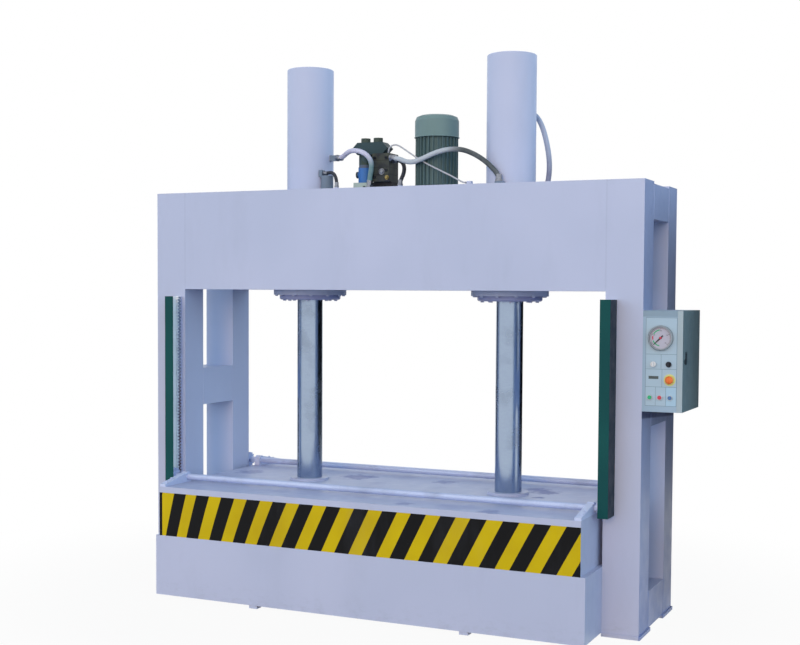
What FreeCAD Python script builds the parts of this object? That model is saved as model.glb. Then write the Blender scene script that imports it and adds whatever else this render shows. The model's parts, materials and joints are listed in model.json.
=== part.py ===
"""Upright two-cylinder hydraulic cold press for sheet material.

Millimetres. X runs to the operator's right, Y to the back, Z up. The origin lies on the floor,
under the middle of the press. The platen is drawn at the bottom of its travel.
"""
import FreeCAD, Part
import math
import os
import re

import Sketcher

Vector = FreeCAD.Vector

# ---------------------------------------------------------------- driving sizes
SIZES = (
    # side frames and top beams
    ("inner_span", 2550, "clear width between the two side frames"),
    ("post_width", 195, "post section along X"),
    ("post_depth", 190, "post section along Y"),
    ("post_wall", 12, "plate of the posts and ties"),
    ("frame_depth", 710, "side frame over both posts"),
    ("frame_top", 2335, "top of posts and beams above the floor"),
    ("foot_thickness", 18, "foot plate under each post"),
    ("foot_overhang", 25, "foot plate past its post, inwards"),
    ("foot_ledge", 8, "foot plate past its post, outwards"),
    ("drain_radius", 30, "drain hole in each foot plate"),
    ("beam_underside", 1770, "underside of the top beams above the floor"),
    ("beam_wall", 14, "plate of the top beams"),
    ("top_tie_drop", 12, "top tie below the post tops"),
    ("top_tie_height", 181, "height of the top tie"),
    ("middle_tie_bottom", 1074, "underside of the middle tie"),
    ("middle_tie_height", 220, "height of the middle tie"),
    ("bottom_tie_top", 210, "sill of the side windows"),
    # base and platen
    ("bed_top", 360, "top of the lower bed"),
    ("bed_plate_thickness", 30, "bed plate"),
    ("base_length", 2550, "base along X, between the side frames"),
    ("work_depth", 1300, "base and platen along Y"),
    ("fascia", 16, "outer plates of base and platen"),
    ("web", 12, "inner plates of base and platen"),
    ("base_floor", 12, "floor plate that closes the base"),
    ("cells_long", 6, "cells along X"),
    ("cells_deep", 6, "cells along Y"),
    ("pad_size", 50, "levelling pad, square"),
    ("pad_inset", 4, "levelling pad behind the fascia's face"),
    ("platen_length", 2500, "platen along X"),
    ("platen_height", 280, "platen over its plates"),
    ("press_plate_thickness", 30, "lower plate of the platen"),
    ("top_plate_thickness", 30, "upper plate of the platen"),
    ("rod_seat_radius", 115, "round seat of each rod on the platen"),
    ("rod_seat_height", 15, "height of that seat"),
    # cylinders
    ("cylinder_spacing", 1260, "between the two cylinder axes"),
    ("barrel_radius", 136.5, "outside of the barrel"),
    ("barrel_wall", 20, "wall of the barrel"),
    ("barrel_top", 3061, "top of the barrels above the floor"),
    ("barrel_head", 30, "welded head of the barrel"),
    ("barrel_chamfer", 4, "edge of the head"),
    ("flange_radius", 215, "mounting flange of the cylinder"),
    ("flange_thickness", 30, "mounting flange of the cylinder"),
    ("gland_radius", 180, "gland flange"),
    ("gland_thickness", 28, "gland flange"),
    ("gland_spigot", 50, "gland bush inside the barrel"),
    ("gland_chamfer", 7, "lower edge of the gland"),
    ("rod_radius", 75, "piston rod"),
    ("rod_spigot_radius", 50, "rod end inside its seat"),
    ("piston_rest", 1800, "underside of the piston above the floor, platen down"),
    ("piston_height", 90, "piston"),
    ("slide_clearance", 0.3, "radial gap of rods, pistons, shafts and stems"),
    # synchronising gear
    ("gear_module", 6, "module of racks and pinions"),
    ("pinion_teeth", 14, "teeth of a pinion"),
    ("addendum_share", 0.8, "stub tooth height over the pitch line, in modules"),
    ("dedendum_share", 1.0, "tooth depth under the pitch line, in modules"),
    ("pressure_angle", 20, "degrees"),
    ("gear_backlash", 0.6, "thinning of each pinion tooth"),
    ("pinion_width", 22, "pinion along X"),
    ("rack_width", 25, "rack along X"),
    ("rack_pitch_height", 18, "pitch line above the post's face"),
    ("rack_teeth", 58, "tooth spaces in a rack"),
    ("rack_lead", 2, "rack below the pinion axis at rest, in teeth"),
    ("rack_inset", 32.5, "rack centre outside the side frame's inner face"),
    ("shaft_rise", 30, "shaft axis above the platen"),
    ("shaft_radius", 18, "synchronising shaft"),
    ("shaft_end", 8, "shaft past the pinion"),
    ("bracket_width", 36, "shaft bracket along X"),
    ("bracket_inset", 18, "bracket centre from the platen's end"),
    ("bracket_edge", 6, "bracket foot from the platen's front edge"),
    ("bracket_toe", 14, "height of the bracket's toe"),
    ("guard_bottom", 627, "rack guard above the floor"),
    ("guard_top", 1728, "rack guard above the floor"),
    ("guard_depth", 118, "rack guard in front of the post"),
    ("guard_inset", 5, "guard's open edge outside the inner face"),
    ("guard_width", 55, "front leg of the guard"),
    ("guard_flange", 14, "fixing flange of the guard"),
    ("guard_sheet", 3, "sheet of the guard"),
    # oil tank, motor and valves
    ("tank_left", -330, "left wall of the tank"),
    ("tank_length", 760, "tank along X"),
    ("tank_gap", 15, "between the tank and each top beam"),
    ("tank_height", 330, "tank"),
    ("tank_wall", 4, "sheet of the tank"),
    ("lid_left", -395, "left edge of the lid"),
    ("lid_length", 875, "lid along X"),
    ("lid_overlap", 35, "lid on each top beam"),
    ("lid_thickness", 8, "lid"),
    ("port_height", 15, "hose ports on the lid"),
    ("pump_radius", 55, "gear pump under the lid"),
    ("pump_length", 150, "gear pump under the lid"),
    ("strainer_radius", 32, "suction strainer"),
    ("strainer_length", 90, "suction strainer"),
    ("motor_x", 184, "motor axis"),
    ("motor_flange_radius", 110, "flange"),
    ("motor_flange", 12, "flange thickness"),
    ("motor_neck_radius", 95, "neck above the flange"),
    ("motor_neck_top", 17, "top of the neck above the lid"),
    ("motor_core_radius", 106, "body between the fins"),
    ("motor_body_height", 297, "motor without its cowl"),
    ("motor_rim", 11, "end shield that carries the cowl"),
    ("motor_fins", 28, "cooling fins"),
    ("fin_radius", 121, "over the fins"),
    ("fin_thickness", 4, "cooling fin"),
    ("cowl_radius", 124.5, "fan cowl"),
    ("cowl_height", 124, "fan cowl"),
    ("cowl_sheet", 3, "sheet of the cowl"),
    ("cowl_dome", 30, "rounding of the cowl"),
    ("cowl_slots", 16, "air slots in the cowl"),
    ("terminal_width", 90, "terminal box"),
    ("terminal_reach", 160, "terminal box from the motor axis"),
    ("terminal_height", 100, "terminal box"),
    ("manifold_height", 47, "valve base block"),
    ("stack_left", -186, "left face of the valve stack"),
    ("stack_width", 108, "valve stack along X"),
    ("stack_front", -78, "front face of the valve stack"),
    ("valve_depth", 90, "valves along Y"),
    ("relief_bottom", 207, "relief valve body above the lid"),
    ("relief_height", 70, "relief valve body"),
    ("relief_left", -335, "left end of the relief valve body"),
    ("relief_length", 228, "relief valve body along X"),
    ("knob_radius", 27, "valve knob"),
    ("knob_height", 26, "valve knob"),
    ("coil_radius", 43, "solenoid coil"),
    ("solenoid_x", -264, "solenoid axis"),
    # control box
    ("box_width", 174, "control box without its door, along X"),
    ("box_depth", 392, "control box along Y"),
    ("box_bottom", 1167, "control box above the floor"),
    ("box_height", 508, "control box"),
    ("box_sheet", 3, "sheet of the control box"),
    ("door_thickness", 27.5, "door over its rim"),
    ("door_gap", 0.5, "gap between door and box"),
    ("hinge_offset", 8, "hinge pin behind the box"),
    ("knuckle_radius", 7, "hinge knuckle"),
    ("hinge_pin_radius", 3, "hinge pin"),
    ("knuckle_length", 30, "half of a hinge"),
    ("gauge_radius", 62.5, "rim of the pressure gauge"),
    ("gauge_body_radius", 56, "gauge behind the panel"),
    ("gauge_bowl_radius", 55, "dial opening"),
    ("gauge_rim", 22, "gauge in front of the panel"),
    ("gauge_bowl", 14, "depth of the dial behind the rim"),
    ("button_radius", 10, "push buttons"),
    ("collar_height", 7, "collars around the buttons"),
    ("stem_radius", 6, "stems of buttons and selectors"),
    ("button_travel", 4, "push button"),
    ("stop_radius", 20, "stop button"),
    ("stop_travel", 5, "stop button"),
    ("selector_radius", 14, "selector knobs"),
)

doc = FreeCAD.newDocument("HydraulicPress")
sizes = doc.addObject("Spreadsheet::Sheet", "Sizes")
for row, (alias, size, note) in enumerate(SIZES, start=1):
    sizes.set(f"A{row}", note)
    sizes.set(f"B{row}", str(size))
    sizes.setAlias(f"B{row}", alias)
doc.recompute()

NAMES = re.compile(r"\b(" + "|".join(name for name, _, _ in SIZES) + r")\b")
pieces = []


def bind(thing, prop, formula):
    """Tie a property to a formula in the sheet's own names."""
    thing.setExpression(prop, NAMES.sub(r"Sizes.\1", str(formula)))


def value(formula):
    """What a formula in the sheet's names comes to."""
    return float(sizes.evalExpression(str(formula)))


# ---------------------------------------------------------------- modelling steps
def new_body(label, x="0", y="0", z="0"):
    body = doc.addObject("PartDesign::Body", label)
    body.Label = label
    for axis, formula in zip("xyz", (x, y, z)):
        bind(body, f"Placement.Base.{axis}", formula)
    pieces.append(body)
    return body


def origin(body, role):
    return next(f for f in body.Origin.OriginFeatures if f.Role == role)


def new_sketch(body, plane="XY_Plane", offset="0"):
    sketch = body.newObject("Sketcher::SketchObject", body.Label + "_sketch")
    sketch.AttachmentSupport = [(origin(body, plane), "")]
    sketch.MapMode = "FlatFace"
    bind(sketch, "AttachmentOffset.Base.z", offset)
    return sketch


def pin_point(sketch, geometry, place, x, y):
    """Hold one point of the sketch at two formulas, measured from the sketch's origin."""
    for kind, formula in (("DistanceX", x), ("DistanceY", y)):
        held = sketch.addConstraint(
            Sketcher.Constraint(kind, -1, 1, geometry, place, value(formula)))
        bind(sketch, f"Constraints[{held}]", formula)


def outline(sketch, points):
    """Closed straight-sided outline through points given as pairs of formulas."""
    spots = [Vector(value(x), value(y), 0) for x, y in points]
    first = sketch.GeometryCount
    count = len(spots)
    for number, spot in enumerate(spots):
        sketch.addGeometry(Part.LineSegment(spot, spots[(number + 1) % count]), False)
    for number, (x, y) in enumerate(points):
        after = first + (number + 1) % count
        sketch.addConstraint(Sketcher.Constraint("Coincident", first + number, 2, after, 1))
    for number, (x, y) in enumerate(points):
        pin_point(sketch, first + number, 1, x, y)


def rectangle(sketch, x0, y0, x1, y1):
    outline(sketch, [(x0, y0), (x1, y0), (x1, y1), (x0, y1)])


def circle(sketch, x, y, radius):
    ring = sketch.addGeometry(
        Part.Circle(Vector(value(x), value(y), 0), Vector(0, 0, 1), value(radius)), False)
    pin_point(sketch, ring, 3, x, y)
    held = sketch.addConstraint(Sketcher.Constraint("Radius", ring, value(radius)))
    bind(sketch, f"Constraints[{held}]", radius)


def pad(body, sketch, length, symmetric=False, flip=False):
    feature = body.newObject("PartDesign::Pad", body.Label + "_pad")
    feature.Profile = sketch
    feature.SideType = "Symmetric" if symmetric else "One side"
    feature.Reversed = flip
    bind(feature, "Length", length)
    body.Tip = feature
    return feature


def pocket(body, sketch, depth=None, flip=False):
    """Cut to a depth, or right through both ways where no depth is given."""
    feature = body.newObject("PartDesign::Pocket", body.Label + "_pocket")
    feature.Profile = sketch
    feature.Reversed = flip
    if depth is None:
        feature.Type = "ThroughAll"
        feature.SideType = "Symmetric"
    else:
        bind(feature, "Length", depth)
    body.Tip = feature
    return feature


def revolve(body, points, plane="XZ_Plane"):
    """Turned form: the half section spun about the sketch's upright axis."""
    sketch = new_sketch(body, plane)
    outline(sketch, points)
    feature = body.newObject("PartDesign::Revolution", body.Label + "_turned")
    feature.Profile = sketch
    feature.ReferenceAxis = (sketch, ["V_Axis"])
    feature.Angle = 360
    body.Tip = feature
    return feature


def repeat_along(body, feature, axis, spacing, count):
    pattern = body.newObject("PartDesign::LinearPattern", body.Label + "_row")
    pattern.Originals = [feature]
    pattern.Direction = (origin(body, axis), [""])
    pattern.Mode = "Spacing"
    bind(pattern, "Offset", spacing)
    bind(pattern, "Occurrences", count)
    body.Tip = pattern


def repeat_around(body, feature, axis, count):
    pattern = body.newObject("PartDesign::PolarPattern", body.Label + "_ring")
    pattern.Originals = [feature]
    pattern.Axis = (origin(body, axis), [""])
    pattern.Angle = 360
    bind(pattern, "Occurrences", count)
    body.Tip = pattern


def block(body, x0, x1, y0, y1, z0, z1):
    """A plate or block inside a body, from its corners."""
    sketch = new_sketch(body, "XY_Plane", z0)
    rectangle(sketch, x0, y0, x1, y1)
    return pad(body, sketch, f"({z1}) - ({z0})")


# ---------------------------------------------------------------- shared places
POST_X = "(inner_span + post_width) / 2"
POST_Y = "(frame_depth - post_depth) / 2"
BEAM_HEIGHT = "(frame_top - beam_underside)"
PLATEN_TOP = "(bed_top + platen_height)"
CYLINDER_X = "cylinder_spacing / 2"
FLANGE_BOTTOM = "(beam_underside - flange_thickness)"
BORE = "(barrel_radius - barrel_wall)"
PITCH_RADIUS = "(gear_module * pinion_teeth / 2)"
TOOTH_PITCH = f"({math.pi:.10f} * gear_module)"
TIP_HEIGHT = "(rack_pitch_height + addendum_share * gear_module)"
SHAFT_Y = f"(frame_depth / 2 + rack_pitch_height + {PITCH_RADIUS})"
SHAFT_Z = f"({PLATEN_TOP} + shaft_rise)"
RACK_X = "(inner_span / 2 + rack_inset)"
LID_TOP = "(frame_top + lid_thickness)"
BEAM_GAP = "(frame_depth - 2 * post_depth)"
TANK_DEPTH = f"({BEAM_GAP} - 2 * tank_gap)"
LID_DEPTH = f"({BEAM_GAP} + 2 * lid_overlap)"
SIDES = (("left", -1), ("right", 1))
ENDS = (("front", -1), ("rear", 1))


# ---------------------------------------------------------------- side frames and beams
def tube_section(sketch, x0, y0, x1, y1, wall):
    rectangle(sketch, x0, y0, x1, y1)
    rectangle(sketch, f"{x0} + {wall}", f"{y0} + {wall}", f"{x1} - {wall}", f"{y1} - {wall}")


def make_post(label, side, end):
    """Box post on a foot plate that reaches past it on three sides, closed by a cap."""
    body = new_body(label, f"{side} * {POST_X}", f"{end} * {POST_Y}")
    foot = new_sketch(body)
    rectangle(foot, f"-{side} * post_width / 2", f"{end} * (post_depth / 2 + foot_ledge)",
              f"{side} * (post_width / 2 + foot_ledge)",
              f"-{end} * (post_depth / 2 + foot_overhang)")
    circle(foot, "0", "0", "drain_radius")
    pad(body, foot, "foot_thickness")
    tube = new_sketch(body, "XY_Plane", "foot_thickness")
    tube_section(tube, "-post_width / 2", "-post_depth / 2", "post_width / 2", "post_depth / 2",
                 "post_wall")
    pad(body, tube, "frame_top - foot_thickness - post_wall")
    block(body, "-post_width / 2", "post_width / 2", "-post_depth / 2", "post_depth / 2",
          "frame_top - post_wall", "frame_top")


def make_tie(label, side, bottom, height):
    """Box tie between the two posts of a side frame."""
    body = new_body(label, f"{side} * {POST_X}", "0", bottom)
    section = new_sketch(body, "XZ_Plane")
    tube_section(section, "-post_width / 2", "0", "post_width / 2", height, "post_wall")
    pad(body, section, "frame_depth - 2 * post_depth", symmetric=True)


def make_top_beam(label, end):
    body = new_body(label, "0", f"{end} * {POST_Y}", "beam_underside")
    section = new_sketch(body, "YZ_Plane")
    tube_section(section, "-post_depth / 2", "0", "post_depth / 2", BEAM_HEIGHT, "beam_wall")
    pad(body, section, "inner_span", symmetric=True)


# ---------------------------------------------------------------- base and platen
def egg_crate(body, length, bottom, height):
    """Welded grid of fascias and webs, open above and below until plates close it."""
    block(body, f"-{length} / 2", f"{length} / 2", "-work_depth / 2", "work_depth / 2",
          bottom, f"{bottom} + {height}")
    cell_x = f"(({length} - 2 * fascia - (cells_long - 1) * web) / cells_long)"
    cell_y = "((work_depth - 2 * fascia - (cells_deep - 1) * web) / cells_deep)"
    column = new_sketch(body)
    start_x = f"-{length} / 2 + fascia"
    for number in range(int(value("cells_deep"))):
        start_y = f"-work_depth / 2 + fascia + {number} * ({cell_y} + web)"
        rectangle(column, start_x, start_y, f"{start_x} + {cell_x}", f"{start_y} + {cell_y}")
    cells = pocket(body, column)
    repeat_along(body, cells, "X_Axis", f"{cell_x} + web", "cells_long")


def make_base_frame(label):
    """Grid under the bed on a floor plate, with the box ties that run out between the posts."""
    body = new_body(label)
    egg_crate(body, "base_length", "foot_thickness",
              "(bed_top - bed_plate_thickness - foot_thickness)")
    block(body, "-base_length / 2", "base_length / 2", "-work_depth / 2", "work_depth / 2",
          "foot_thickness", "foot_thickness + base_floor")
    for _, side in SIDES:
        section = new_sketch(body, "XZ_Plane")
        inner, outer = f"{side} * base_length / 2", f"{side} * (inner_span / 2 + post_width)"
        wall = f"{side} * post_wall"
        rectangle(section, inner, "foot_thickness", outer, "bottom_tie_top")
        rectangle(section, f"{inner} + {wall}", "foot_thickness + post_wall",
                  f"{outer} - {wall}", "bottom_tie_top - post_wall")
        pad(body, section, "frame_depth - 2 * post_depth", symmetric=True)
    pads = new_sketch(body)
    rectangle(pads, "-pad_size / 2", "-pad_size / 2", "pad_size / 2", "pad_size / 2")
    for _, side in SIDES:
        for _, end in ENDS:
            left = f"{side} * {CYLINDER_X} - pad_size / 2"
            face = f"{end} * (work_depth / 2 - pad_inset)"
            rectangle(pads, left, face, f"{left} + pad_size", f"{face} - {end} * pad_size")
    pad(body, pads, "foot_thickness")


def make_plate(label, length, bottom, top):
    body = new_body(label)
    block(body, f"-{length} / 2", f"{length} / 2", "-work_depth / 2", "work_depth / 2",
          bottom, top)
    return body


def make_platen_top(label):
    """Upper plate with a round seat for each rod."""
    body = make_plate(label, "platen_length", f"{PLATEN_TOP} - top_plate_thickness", PLATEN_TOP)
    seats = new_sketch(body, "XY_Plane", PLATEN_TOP)
    for _, side in SIDES:
        circle(seats, f"{side} * {CYLINDER_X}", "0", "rod_seat_radius")
        circle(seats, f"{side} * {CYLINDER_X}", "0", "rod_spigot_radius + slide_clearance")
    pad(body, seats, "rod_seat_height")


# ---------------------------------------------------------------- cylinders
def make_cylinder(label, side):
    """Barrel with a welded head and a mounting flange bolted under the beams."""
    body = new_body(label, f"{side} * {CYLINDER_X}", "0", FLANGE_BOTTOM)
    top = f"(barrel_top - {FLANGE_BOTTOM})"
    revolve(body, [
        (BORE, "0"), ("flange_radius", "0"), ("flange_radius", "flange_thickness"),
        ("barrel_radius", "flange_thickness"), ("barrel_radius", f"{top} - barrel_chamfer"),
        ("barrel_radius - barrel_chamfer", top), ("0", top), ("0", f"{top} - barrel_head"),
        (BORE, f"{top} - barrel_head")])
    return body


def add_port(body, x0, x1, y0, y1, bottom, top):
    """Port block welded to a barrel, its heights measured from the floor."""
    block(body, x0, x1, y0, y1, f"{bottom} - {FLANGE_BOTTOM}", f"{top} - {FLANGE_BOTTOM}")


def make_gland(label, side):
    bush = "(rod_radius + slide_clearance)"
    body = new_body(label, f"{side} * {CYLINDER_X}", "0", f"{FLANGE_BOTTOM} - gland_thickness")
    revolve(body, [
        (bush, "0"), ("gland_radius - gland_chamfer", "0"), ("gland_radius", "gland_chamfer"),
        ("gland_radius", "gland_thickness"), (BORE, "gland_thickness"),
        (BORE, "gland_thickness + gland_spigot"), (bush, "gland_thickness + gland_spigot")])


def make_piston_rod(label, side):
    """Rod turned in one with its piston, its end seated in the platen."""
    body = new_body(label, f"{side} * {CYLINDER_X}", "0", PLATEN_TOP)
    piston = f"(piston_rest - {PLATEN_TOP})"
    crown = f"({piston} + piston_height)"
    revolve(body, [
        ("0", "0"), ("rod_spigot_radius", "0"), ("rod_spigot_radius", "rod_seat_height"),
        ("rod_radius", "rod_seat_height"), ("rod_radius", piston),
        (f"{BORE} - slide_clearance", piston), (f"{BORE} - slide_clearance", crown),
        ("0", crown)])


# ---------------------------------------------------------------- synchronising gear
def flank_angle(teeth, share, thinning):
    """Half angle of a tooth space at a radius given as a share of the pitch radius."""
    slope = math.radians(value("pressure_angle"))
    base = math.cos(slope)
    roll = math.acos(min(1.0, base / max(share, base)))
    tooth = (math.pi / 2 - thinning) / teeth + (math.tan(slope) - slope)
    return math.pi / teeth - (tooth - (math.tan(roll) - roll))


def tooth_space(body, toward):
    """Gap between two involute teeth that opens along Y, cut right through."""
    teeth = int(value("pinion_teeth"))
    thinning = value("gear_backlash / gear_module")
    root = 1 - 2 * value("dedendum_share") / teeth
    tip = 1 + 2 * value("addendum_share") / teeth
    shares = (root, math.cos(math.radians(value("pressure_angle"))), 1, (1 + tip) / 2, tip)
    flank = [(share, flank_angle(teeth, share, thinning)) for share in shares]
    flank.append((tip * 1.05, flank[-1][1]))
    both = [(share, -angle) for share, angle in flank] + flank[::-1]
    sketch = new_sketch(body, "YZ_Plane")
    outline(sketch, [
        (f"{toward} * {PITCH_RADIUS} * {share * math.cos(angle):.6f}",
         f"{PITCH_RADIUS} * {share * math.sin(angle):.6f}") for share, angle in both])
    return pocket(body, sketch)


def make_sync_shaft(label, end):
    """Shaft with a pinion keyed on each end; a tooth space faces its rack at rest."""
    body = new_body(label, "0", f"{end} * {SHAFT_Y}", SHAFT_Z)
    tip = f"({PITCH_RADIUS} + addendum_share * gear_module)"
    for _, side in SIDES:
        rim = new_sketch(body, "YZ_Plane", f"{side} * {RACK_X}")
        circle(rim, "0", "0", tip)
        circle(rim, "0", "0", "shaft_radius")
        pad(body, rim, "pinion_width", symmetric=True)
        if side < 0:
            core = new_sketch(body, "YZ_Plane")
            circle(core, "0", "0", "shaft_radius")
            pad(body, core, f"2 * ({RACK_X} + pinion_width / 2 + shaft_end)", symmetric=True)
    space = tooth_space(body, -end)
    repeat_around(body, space, "X_Axis", "pinion_teeth")


def make_rack(label, side, end):
    """Straight rack on the post's face; a tooth faces the pinion's space at rest."""
    body = new_body(label, f"{side} * {RACK_X}", f"{end} * frame_depth / 2",
                    f"{SHAFT_Z} - rack_lead * {TOOTH_PITCH}")
    block(body, "-rack_width / 2", "rack_width / 2", "0", f"{end} * {TIP_HEIGHT}",
          "0", f"rack_teeth * {TOOTH_PITCH}")
    lean = f"{math.tan(math.radians(value('pressure_angle'))):.8f} * gear_module"
    root_half = f"({TOOTH_PITCH} / 4 - {lean} * dedendum_share)"
    mouth_half = f"({TOOTH_PITCH} / 4 + {lean} * addendum_share)"
    root = f"{end} * (rack_pitch_height - dedendum_share * gear_module)"
    mouth = f"{end} * {TIP_HEIGHT}"
    middle = f"{TOOTH_PITCH} / 2"
    sketch = new_sketch(body, "YZ_Plane")
    outline(sketch, [(root, f"{middle} - {root_half}"), (mouth, f"{middle} - {mouth_half}"),
                     (mouth, f"{middle} + {mouth_half}"), (root, f"{middle} + {root_half}")])
    space = pocket(body, sketch)
    repeat_along(body, space, "Z_Axis", TOOTH_PITCH, "rack_teeth")


def make_guard(label, side, end):
    """Folded sheet over a rack: fixing flange, side and front leg."""
    body = new_body(label, "0", "0", "guard_bottom")
    outer = f"{side} * (inner_span / 2 + guard_inset + guard_width)"
    sheet = f"{side} * guard_sheet"
    back = f"{end} * frame_depth / 2"
    front = f"{end} * (frame_depth / 2 + guard_depth)"
    fold = f"{end} * guard_sheet"
    section = new_sketch(body)
    outline(section, [
        (f"{outer} - {side} * guard_flange", back), (outer, back), (outer, front),
        (f"{outer} - {side} * guard_width", front),
        (f"{outer} - {side} * guard_width", f"{front} - {fold}"),
        (f"{outer} - {sheet}", f"{front} - {fold}"), (f"{outer} - {sheet}", f"{back} + {fold}"),
        (f"{outer} - {side} * guard_flange", f"{back} + {fold}")])
    pad(body, section, "guard_top - guard_bottom")


def make_bracket(label, side, end):
    """Bearing bracket with a gusset that runs out to the platen's edge."""
    body = new_body(label, f"{side} * (platen_length / 2 - bracket_inset)",
                    f"{end} * {SHAFT_Y}", PLATEN_TOP)
    toe = f"{end} * (work_depth / 2 - bracket_edge - {SHAFT_Y})"
    gusset = new_sketch(body, "YZ_Plane")
    outline(gusset, [
        (f"-{end} * shaft_rise", "0"), (f"-{end} * shaft_rise", "shaft_rise"),
        (f"{end} * shaft_rise * 0.6", "shaft_rise * 1.8"), (toe, "bracket_toe"), (toe, "0")])
    pad(body, gusset, "bracket_width", symmetric=True)
    head = new_sketch(body, "YZ_Plane")
    circle(head, "0", "shaft_rise", "shaft_rise")
    pad(body, head, "bracket_width", symmetric=True)
    bearing = new_sketch(body, "YZ_Plane")
    circle(bearing, "0", "shaft_rise", "shaft_radius + slide_clearance")
    pocket(body, bearing)


# ---------------------------------------------------------------- oil tank, motor, valves
def make_tank(label):
    """Open welded tank that hangs under the lid between the beams."""
    body = new_body(label, "tank_left", "0", "frame_top - tank_height")
    block(body, "0", "tank_length", f"-{TANK_DEPTH} / 2", f"{TANK_DEPTH} / 2",
          "0", "tank_height")
    hollow = new_sketch(body, "XY_Plane", "tank_height")
    rectangle(hollow, "tank_wall", f"-{TANK_DEPTH} / 2 + tank_wall",
              "tank_length - tank_wall", f"{TANK_DEPTH} / 2 - tank_wall")
    pocket(body, hollow, "tank_height - tank_wall")


LID_PORTS = ((-377, -148, 14), (-194, -93, 17), (14, -124, 15))
GAUGE_LINE_PORT = (436, 462, -172, -146, 24)


def make_tank_lid(label):
    """Lid on the beams, with hose ports on top, and pump and strainer under it."""
    body = new_body(label, "0", "0", "frame_top")
    block(body, "lid_left", "lid_left + lid_length", f"-{LID_DEPTH} / 2", f"{LID_DEPTH} / 2",
          "0", "lid_thickness")
    ports = new_sketch(body, "XY_Plane", "lid_thickness")
    for x, y, radius in LID_PORTS:
        circle(ports, x, y, radius)
    pad(body, ports, "port_height")
    left, right, near, far, height = GAUGE_LINE_PORT
    block(body, left, right, near, far, "lid_thickness", f"lid_thickness + {height}")
    pump = new_sketch(body)
    circle(pump, "motor_x", "0", "pump_radius")
    pad(body, pump, "pump_length", flip=True)
    strainer = new_sketch(body, "XY_Plane", "-pump_length")
    circle(strainer, "motor_x", "0", "strainer_radius")
    pad(body, strainer, "strainer_length", flip=True)


def make_motor(label):
    """Flange motor standing on the lid, with cooling fins and a terminal box behind."""
    body = new_body(label, "motor_x", "0", LID_TOP)
    seat = "cowl_radius - cowl_sheet"
    rim = "motor_body_height - motor_rim"
    revolve(body, [
        ("0", "0"), ("motor_flange_radius", "0"), ("motor_flange_radius", "motor_flange"),
        ("motor_neck_radius", "motor_flange"), ("motor_neck_radius", "motor_neck_top"),
        ("motor_core_radius", "motor_neck_top"), ("motor_core_radius", rim), (seat, rim),
        (seat, "motor_body_height"), ("0", "motor_body_height")])
    fin = new_sketch(body, "XY_Plane", "motor_neck_top")
    rectangle(fin, "motor_core_radius - fin_thickness", "-fin_thickness / 2",
              "fin_radius", "fin_thickness / 2")
    fins = pad(body, fin, f"{rim} - motor_neck_top")
    repeat_around(body, fins, "Z_Axis", "motor_fins")
    middle = "motor_body_height / 2"
    block(body, "-terminal_width / 2", "terminal_width / 2", "motor_core_radius - fin_thickness",
          "terminal_reach", middle, f"{middle} + terminal_height")


def make_cowl(label):
    """Pressed fan cowl with a rolled lip and radial air slots."""
    body = new_body(label, "motor_x", "0", f"{LID_TOP} + motor_body_height - motor_rim")
    inner = "(cowl_radius - cowl_sheet)"
    crown = "(cowl_height - cowl_sheet)"
    shoulder = "(cowl_height - cowl_dome)"
    bend = math.sin(math.radians(45))
    revolve(body, [
        (inner, "0"), ("cowl_radius + cowl_sheet", "0"), ("cowl_radius + cowl_sheet", "cowl_sheet"),
        ("cowl_radius", "2 * cowl_sheet"), ("cowl_radius", shoulder),
        (f"cowl_radius - cowl_dome * {1 - bend:.5f}", f"{shoulder} + cowl_dome * {bend:.5f}"),
        ("cowl_radius - cowl_dome", "cowl_height"), ("0", "cowl_height"), ("0", crown),
        (f"{inner} - cowl_dome + cowl_sheet", crown),
        (f"{inner} - (cowl_dome - cowl_sheet) * {1 - bend:.5f}",
         f"{shoulder} + (cowl_dome - cowl_sheet) * {bend:.5f}"),
        (inner, shoulder)])
    slot = new_sketch(body, "XY_Plane", "cowl_height")
    rectangle(slot, "cowl_radius * 0.25", "-cowl_sheet", "cowl_radius * 0.68", "cowl_sheet")
    slots = pocket(body, slot, "2 * cowl_sheet")
    repeat_around(body, slots, "Z_Axis", "cowl_slots")


def make_manifold(label):
    """Base block, valve stack and the six-sided relief valve body on top."""
    body = new_body(label, "0", "0", LID_TOP)
    right = "(stack_left + stack_width)"
    block(body, "relief_left + knob_radius / 2", right, "-valve_depth / 2", "valve_depth / 2",
          "0", "manifold_height")
    block(body, "stack_left", right, "stack_front", "valve_depth / 2",
          "manifold_height", "relief_bottom")
    side = "relief_height / 2"
    end = "(relief_left + relief_length)"
    section = new_sketch(body, "XZ_Plane")
    outline(section, [
        (f"relief_left + {side}", "relief_bottom"), (f"{end} - {side}", "relief_bottom"),
        (end, f"relief_bottom + {side}"), (f"{end} - {side}", "relief_bottom + relief_height"),
        (f"relief_left + {side}", "relief_bottom + relief_height"),
        ("relief_left", f"relief_bottom + {side}")])
    pad(body, section, "valve_depth - 10", symmetric=True)


def make_solenoid_valve(label):
    """Coil with its nut, and the valve body above it."""
    body = new_body(label, "solenoid_x", "0", f"{LID_TOP} + manifold_height")
    height = "(relief_bottom - manifold_height)"
    revolve(body, [
        ("0", "0"), ("coil_radius", "0"), ("coil_radius", f"{height} * 0.56"),
        ("coil_radius * 0.92", f"{height} * 0.56"), ("coil_radius * 0.92", height),
        ("0", height)])
    nut = new_sketch(body, "YZ_Plane")
    circle(nut, "0", f"{height} * 0.3", "coil_radius * 0.45")
    pad(body, nut, "coil_radius * 1.3", flip=True)


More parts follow.
